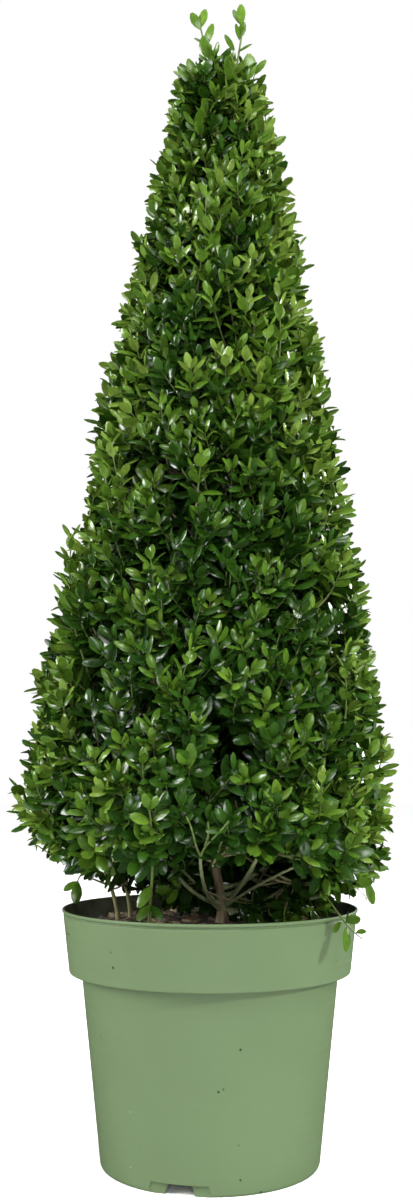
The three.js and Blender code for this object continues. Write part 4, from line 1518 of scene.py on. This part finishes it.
def grow_runners(bush, nearest, count, random):
    """Long soft shoots that climb up the face with their leaf pairs far apart."""
    for k in range(count):
        spot = int((k + random()) * RUNNER_SPOTS / count)
        azimuth, _, z, _ = shoot_spot(spot, RUNNER_SPOTS_WITH_CAP)
        if z > RUNNER_HIGHEST_Z:
            continue
        climb = lerp(0.045, 0.10, random())
        top_z = min(z + climb, CROWN_TOP_Z - RUNNER_TOP_GAP)
        drift = swing(16, random)
        reach = clip_radius(top_z) + raggedness(azimuth + drift, top_z)
        depth = lerp(-0.003, 0.010, random())
        tip = on_crown(azimuth + drift, reach - depth, top_z)
        low = on_crown(azimuth, clip_radius(z) - RUNNER_FOOT_DEPTH, z)
        bend = low.lerp(tip, 0.45) + outward(azimuth) * 0.012
        root = nearest(low - UP * 0.02)
        line = curve([root, low, bend, tip], RUNNER_STEPS)
        bush.green.append((line, tapering(*RUNNER_RADII)))
        spacing = lerp(0.008, 0.0125, random())
        pairs = []
        for i in range(RUNNER_PAIRS):
            distance = 0.001 + spacing * i
            spread = 24 + 7 * i
            size = min(1, TIP_LEAF_SIZE + 0.06 * i)
            pairs.append((distance, spread, size))
        tone = TINTS.index("bright") + (random() < 0.45)
        bush.leafy(line, pairs, tone, random)


def grow_low(bush, nearest, count, random):
    """Shoots under the skirt: low at the right, sparse at the front and the open left."""
    for k in range(count):
        azimuth = (GOLDEN_ANGLE * k) % 360
        reach = math.sqrt(lerp(0.025**2, 0.130**2, random()))
        heading = azimuth + swing(140, random)
        climb = 20 + swing(60, random)
        along = aim(heading, climb)
        full = near(azimuth, *FULL_RIGHT)
        edge = skirt_edge(azimuth) + LOW_EDGE_LIFT
        z = lerp(LOW_LEAST_Z - LOW_RIGHT_DROP * full, edge, smoothstep(reach, *LOW_SLOPE_REACHES))
        tip = on_crown(azimuth, reach, z + LOW_HEIGHT_SWING * (random() - LOW_HEIGHT_DOWN))
        in_front = max(0, math.cos(math.radians(azimuth))) * (1 - full)
        bare = BARE_LEFT_SHARE * near(azimuth, *OPEN_LEFT) + BARE_FRONT_SHARE * in_front
        if random() < bare or before_fork(tip):
            continue
        root = nearest(tip - along * LOW_LENGTH + UP * LOW_ROOT_RISE)
        tone = lerp(1, 2.6, random())
        grow_twig(bush, root, along, tip, LOW_BEND, tone, random)


def grow_low_sprays(bush, nearest, random):
    """A few sprays that hang down towards the potting mix."""
    for tip in millimetres(*LOW_SPRAYS):
        heading = math.degrees(math.atan2(tip.x, -tip.y)) + swing(60, random)
        along = aim(heading, 4)
        root = nearest(tip + Vector((math.copysign(0.02, tip.x), 0.02, 0.03)))
        tone = lerp(1.4, 2.4, random())
        grow_twig(bush, root, along, tip, SPRAY_BEND, tone, random)


class TOPIARY_OT_crown(bpy.types.Operator):
    """Grow the clipped crown: stems, limbs, shoots and leaves"""

    bl_idname = "topiary.crown"
    bl_label = "Crown"

    def execute(self, context):
        crown, wood = context.scene.topiary.crown, context.scene.topiary.wood
        bush = Bush(crown)
        stems = mass_stems()
        limbs = grow_limbs(stems, seeded("limbs"))
        bush.woody += [(line, tapering(*MASS_STEM_RADII)) for line in stems.values()]
        bush.woody += [(line, tapering(*LIMB_RADII)) for line in limbs]
        nearest = nearest_points(limbs)
        grow_face(bush, nearest, crown.shoot_count, seeded("face"))
        grow_cap(bush, nearest, seeded("cap"))
        grow_inside(bush, nearest, crown.inner_count, seeded("inside"))
        grow_runners(bush, nearest, crown.runner_count, seeded("runners"))
        low_limbs = [curve(millimetres(*places), LIMB_STEPS) for places, _ in FORK_LIMBS]
        low_limbs += [curve(points, LIMB_STEPS) for points in bough_lines().values()]
        nearest_low = nearest_points(limbs + low_limbs)
        grow_low(bush, nearest_low, crown.low_count, seeded("low"))
        grow_low_sprays(bush, nearest_low, seeded("low sprays"))
        twig = stem_material("woody_twig", wood.twig_colour, roughness=0.8)
        stem = stem_material("soft_green_stem", wood.shoot_colour, roughness=0.5)
        add_piece(join_tubes("crown_twigs", bush.woody, TWIG_SIDES, twig), "bark")
        add_piece(join_tubes("crown_green_stems", bush.green, TWIG_SIDES, stem), "young_leaves")
        lower_top = TIERS[0][1]
        tiers = (
            ("lower", -math.inf, lower_top, nodes_named("foliage_lower_")),
            ("upper", lower_top, math.inf, nodes_named("foliage_upper_", "foliage_top")),
        )
        for tint in TINTS:
            green = leaf_material(f"{tint}_leaf", getattr(crown, tint), crown.gloss)
            for tier, low, high, nodes in tiers:
                leaves = [leaf for leaf in bush.leaves[tint] if low <= leaf[2] < high]
                add_piece(leaf_mesh(f"{tier}_leaves_{tint}", leaves, green), "leaves", *nodes)
        return {"FINISHED"}


# Loose sprigs

# Sprigs clear of the crown, in millimetres: the points of the stem's curve, its thickness, its leaves' half
# width by their length, the azimuth that they face, and then each leaf by its foot, its tip and its tint
SPRIGS = {
    "front_shoot": (
        ((-47, -62, 183), (-46, -68, 208), (-42, -100, 230), (-40, -136, 256), (-43, -153, 280)),
        1.4, 0.22, 0,
        ((-44, -91, 222), (-54, -97, 206), "mid"),
        ((-45, -77, 207), (-55, -86, 196), "mid"),
        ((-45, -75, 206), (-36, -82, 196), "dark"),
        ((-42, -127, 253), (-57, -138, 256), "mid"),
        ((-42, -128, 254), (-29, -136, 262), "mid"),
        ((-42, -145, 270), (-57, -153, 276), "bright"),
        ((-42, -145, 271), (-29, -153, 280), "mid"),
        ((-43, -152, 279), (-47, -157, 291), "mid"),
        ((-43, -152, 279), (-37, -157, 289), "mid"),
    ),
    "sprig_over_rim": (
        ((82, -50, 222), (92, -64, 207), (101, -82, 191), (113, -92, 183)),
        1.0, 0.22, 66,
        ((90, -62, 208), (84, -72, 214), "mid"),
        ((102, -82, 194), (112, -95, 200), "mid"),
        ((102, -82, 192), (101, -95, 174), "mid"),
        ((99, -78, 194), (92, -86, 187), "mid"),
        ((101, -81, 193), (104, -92, 203), "mid"),
        ((108, -88, 187), (116, -95, 190), "mid"),
    ),
    "top_shoot_left": (
        ((-1, -6, 890), (-1, -6, 937), (-5, -5, 953), (-8, -4, 969)),
        1.5, 0.23, 0,
        ((-8, -4, 967), (-17, -9, 982), "mid"),
        ((-8, -4, 969), (-4, -10, 985), "bright"),
        ((-3, -5, 951), (2, -12, 970), "bright"),
        ((-4, -6, 939), (-6, -10, 960), "mid"),
        ((-2, -6, 939), (1, -11, 950), "mid"),
        ((-6, -5, 954), (-14, -9, 957), "mid"),
    ),
    "top_shoot_right": (
        ((21, 0, 890), (22, 0, 938), (31, 1, 962), (29, 2, 977)),
        1.5, 0.19, 0,
        ((29, 2, 975), (28, -4, 994), "bright"),
        ((28, 2, 976), (22, 6, 996), "mid"),
        ((27, 1, 961), (31, -4, 977), "mid"),
        ((27, 1, 960), (24, -5, 974), "mid"),
        ((23, -1, 947), (14, -8, 962), "mid"),
        ((25, 0, 948), (38, -6, 954), "mid"),
        ((22, -6, 930), (21, -16, 941), "mid"),
    ),
    "cap_left": (
        ((-6, -10, 880), (-12, -16, 900), (-14, -20, 912)),
        1.2, 0.24, 0,
        ((-14, -20, 911), (-19, -28, 926), "bright"),
        ((-12, -18, 904), (-28, -27, 920), "mid"),
        ((-10, -18, 900), (-4, -36, 919), "bright"),
    ),
    "cap_right": (
        ((26, -4, 880), (38, -8, 908), (40, -8, 922)),
        1.2, 0.24, 0,
        ((40, -8, 921), (50, -12, 935), "bright"),
        ((37, -8, 918), (35, -10, 943), "bright"),
        ((39, -9, 905), (49, -20, 916), "mid"),
        ((34, -9, 904), (15, -36, 914), "bright"),
    ),
    "hanging_left": (
        ((-92, 10, 234), (-103, 0, 230), (-108, -9, 217)),
        1.0, 0.23, 0,
        ((-107, -8, 218), (-108.5, -14, 200), "mid"),
        ((-107, -8, 218), (-119, -12, 211), "mid"),
        ((-103, -2, 226), (-113, -10, 226), "bright"),
    ),
    "hanging_right": (
        ((108, -2, 246), (121, -3, 234), (131, -4, 213)),
        1.0, 0.20, 0,
        ((128, -4, 218), (133, -9, 199), "mid"),
        ((124, -3, 226), (139, -8, 221), "bright"),
        ((121, -3, 230), (116, -12, 218), "mid"),
    ),
}
SPRIG_STEPS = 16
SPRIG_SIDES = 6
SPRIG_TAPER = 0.5


class TOPIARY_OT_sprigs(bpy.types.Operator):
    """Grow the loose sprigs round the crown and the bare twigs at its front"""

    bl_idname = "topiary.sprigs"
    bl_label = "Loose sprigs"

    def execute(self, context):
        crown, wood = context.scene.topiary.crown, context.scene.topiary.wood
        random = seeded("sprigs")
        stems = []
        leaves = {tint: [] for tint in TINTS}
        for places, thickness, leaf_width, azimuth, *sprig_leaves in SPRIGS.values():
            taper = tapering(thickness / 1000, SPRIG_TAPER * thickness / 1000)
            stems.append((curve(millimetres(*places), SPRIG_STEPS), taper))
            for foot, tip, tint in sprig_leaves:
                foot, tip = millimetres(foot, tip)
                along = (tip - foot).normalized()
                turned = swing(0.8, random)
                lifted = 0.3 + 0.6 * random()
                facing = outward(azimuth) + Vector((turned, 0, lifted))
                length = (tip - foot).length
                half = length * leaf_width * lerp(0.85, 1.15, random())
                arch, cup, curl = 0.05, lerp(0.1, 0.4, random()), 0.08
                leaves[tint].append(leaf_row(foot, along, facing, length, half, arch, cup, curl))
        for places in FRONT_TWIGS:
            stems.append((curve(millimetres(*places), SPRIG_STEPS), tapering(*FRONT_TWIG_RADII)))
        stem = stem_material("sprig_stem", wood.shoot_colour, roughness=0.5)
        add_piece(join_tubes("sprig_stems", stems, SPRIG_SIDES, stem), "young_leaves")
        for tint in filter(leaves.get, TINTS):
            green = leaf_material(f"{tint}_sprig_leaf", getattr(crown, tint), crown.gloss)
            mesh = leaf_mesh(f"sprig_leaves_{tint}", leaves[tint], green)
            add_piece(mesh, "young_leaves", "sprig_over_rim", "front_shoot")
        return {"FINISHED"}


# Stage

FLOOR_HALF = 12
LIGHT_TARGET = (0, 0, 0.45)
OVERHEAD_PLACE = (0.2, -0.9, 2.2)
OVERHEAD_ANGLE = 60
# Round lights, each by its size and its place
SOFTBOXES = {
    "key": (0.16, (1.8, -1.15, 1.1)),
    "left": (1.1, (-1.85, -0.60, 1.1)),
    "fill": (1.0, (0.3, -2.3, 0.6)),
    "top": (0.7, (0.25, -1.35, 1.9)),
    "rim": (1.0, (1.7, 1.3, 1.3)),
}
CAMERA_X = -0.0028
CAMERA_FRAME = 36


def hang_light(name, kind, place, power, **shape):
    """A light that shines on the middle of the plant."""
    lamp = bpy.data.lights.new(name, kind)
    lamp.energy = power
    for key, value in shape.items():
        setattr(lamp, key, value)
    light = add_object(name, lamp)
    light.location = place
    light.rotation_euler = (Vector(LIGHT_TARGET) - Vector(place)).to_track_quat("-Z", "Y").to_euler()
    return light


def even_sky(stage):
    """Even light from all round, dim where gloss mirrors it and a plain white backdrop to the camera."""
    world = bpy.data.worlds.new("even_sky")
    world.use_nodes = True
    tree = world.node_tree
    path = tree.nodes.new("ShaderNodeLightPath")
    mirrored = tree.nodes.new("ShaderNodeMapRange")
    mirrored.inputs["To Min"].default_value = stage.sky
    mirrored.inputs["To Max"].default_value = stage.sky * stage.sky_sheen
    tree.links.new(path.outputs["Is Glossy Ray"], mirrored.inputs["Value"])
    strength = tree.nodes.new("ShaderNodeMapRange")
    strength.inputs["To Max"].default_value = stage.backdrop
    tree.links.new(mirrored.outputs["Result"], strength.inputs["To Min"])
    tree.links.new(path.outputs["Is Camera Ray"], strength.inputs["Value"])
    background = tree.nodes["Background"]
    background.inputs["Color"].default_value = (*WHITE, 1)
    tree.links.new(strength.outputs["Result"], background.inputs["Strength"])
    return world


class TOPIARY_OT_stage(bpy.types.Operator):
    """Lay a pale floor, set soft studio lights and place the camera"""

    bl_idname = "topiary.stage"
    bl_label = "Stage"

    def execute(self, context):
        scene, stage = context.scene, context.scene.topiary.stage
        half = FLOOR_HALF
        corners = [(-half, -half, 0), (half, -half, 0), (half, half, 0), (-half, half, 0)]
        paper = plain_material("pale_floor", stage.floor_colour, roughness=0.9, gloss=0.0)
        floor = add_object("floor", mesh_of("floor", corners, [(0, 1, 2, 3)], paper))
        floor.visible_glossy = False
        scene.world = even_sky(stage)
        softness = math.radians(OVERHEAD_ANGLE)
        hang_light("overhead", "SUN", OVERHEAD_PLACE, stage.overhead, angle=softness)
        for name, (size, place) in SOFTBOXES.items():
            power = getattr(stage, f"{name}_power")
            light = hang_light(name, "AREA", place, power, shape="DISK", size=size)
            light.visible_glossy = name != "key"
        camera = add_object("camera", bpy.data.cameras.new("camera"))
        camera.data.lens = stage.lens
        camera.data.sensor_width = CAMERA_FRAME
        camera.location = (CAMERA_X, -stage.camera_distance, stage.camera_height)
        camera.rotation_euler = (math.radians(90) + stage.camera_pitch, 0, 0)
        scene.camera = camera
        scene.view_settings.view_transform = "Standard"
        return {"FINISHED"}


# Sidebar and registration

OPERATORS = (
    TOPIARY_OT_stage,
    TOPIARY_OT_pot,
    TOPIARY_OT_potting_mix,
    TOPIARY_OT_wood,
    TOPIARY_OT_crown,
    TOPIARY_OT_sprigs,
)


class TOPIARY_PT_sidebar(bpy.types.Panel):
    """The plant's pieces and their settings"""

    bl_idname = "TOPIARY_PT_sidebar"
    bl_label = "Potted cone topiary"
    bl_space_type = "VIEW_3D"
    bl_region_type = "UI"
    bl_category = "Topiary"

    def draw(self, context):
        settings = context.scene.topiary
        for operator in OPERATORS:
            self.layout.operator(operator.bl_idname)
        for group in (settings.pot, settings.wood, settings.crown, settings.stage):
            box = self.layout.box()
            for name in group.__annotations__:
                box.prop(group, name)


CLASSES = (
    PotSettings,
    WoodSettings,
    CrownSettings,
    StageSettings,
    TopiarySettings,
    *OPERATORS,
    TOPIARY_PT_sidebar,
)


def register():
    for cls in CLASSES:
        bpy.utils.register_class(cls)
    bpy.types.Scene.topiary = PointerProperty(type=TopiarySettings)


def unregister():
    del bpy.types.Scene.topiary
    for cls in reversed(CLASSES):
        bpy.utils.unregister_class(cls)


def main():
    register()
    bpy.ops.topiary.stage()
    bpy.ops.topiary.pot()
    bpy.ops.topiary.potting_mix()
    bpy.ops.topiary.wood()
    bpy.ops.topiary.crown()
    bpy.ops.topiary.sprigs()


if __name__ == "__main__":
    main()
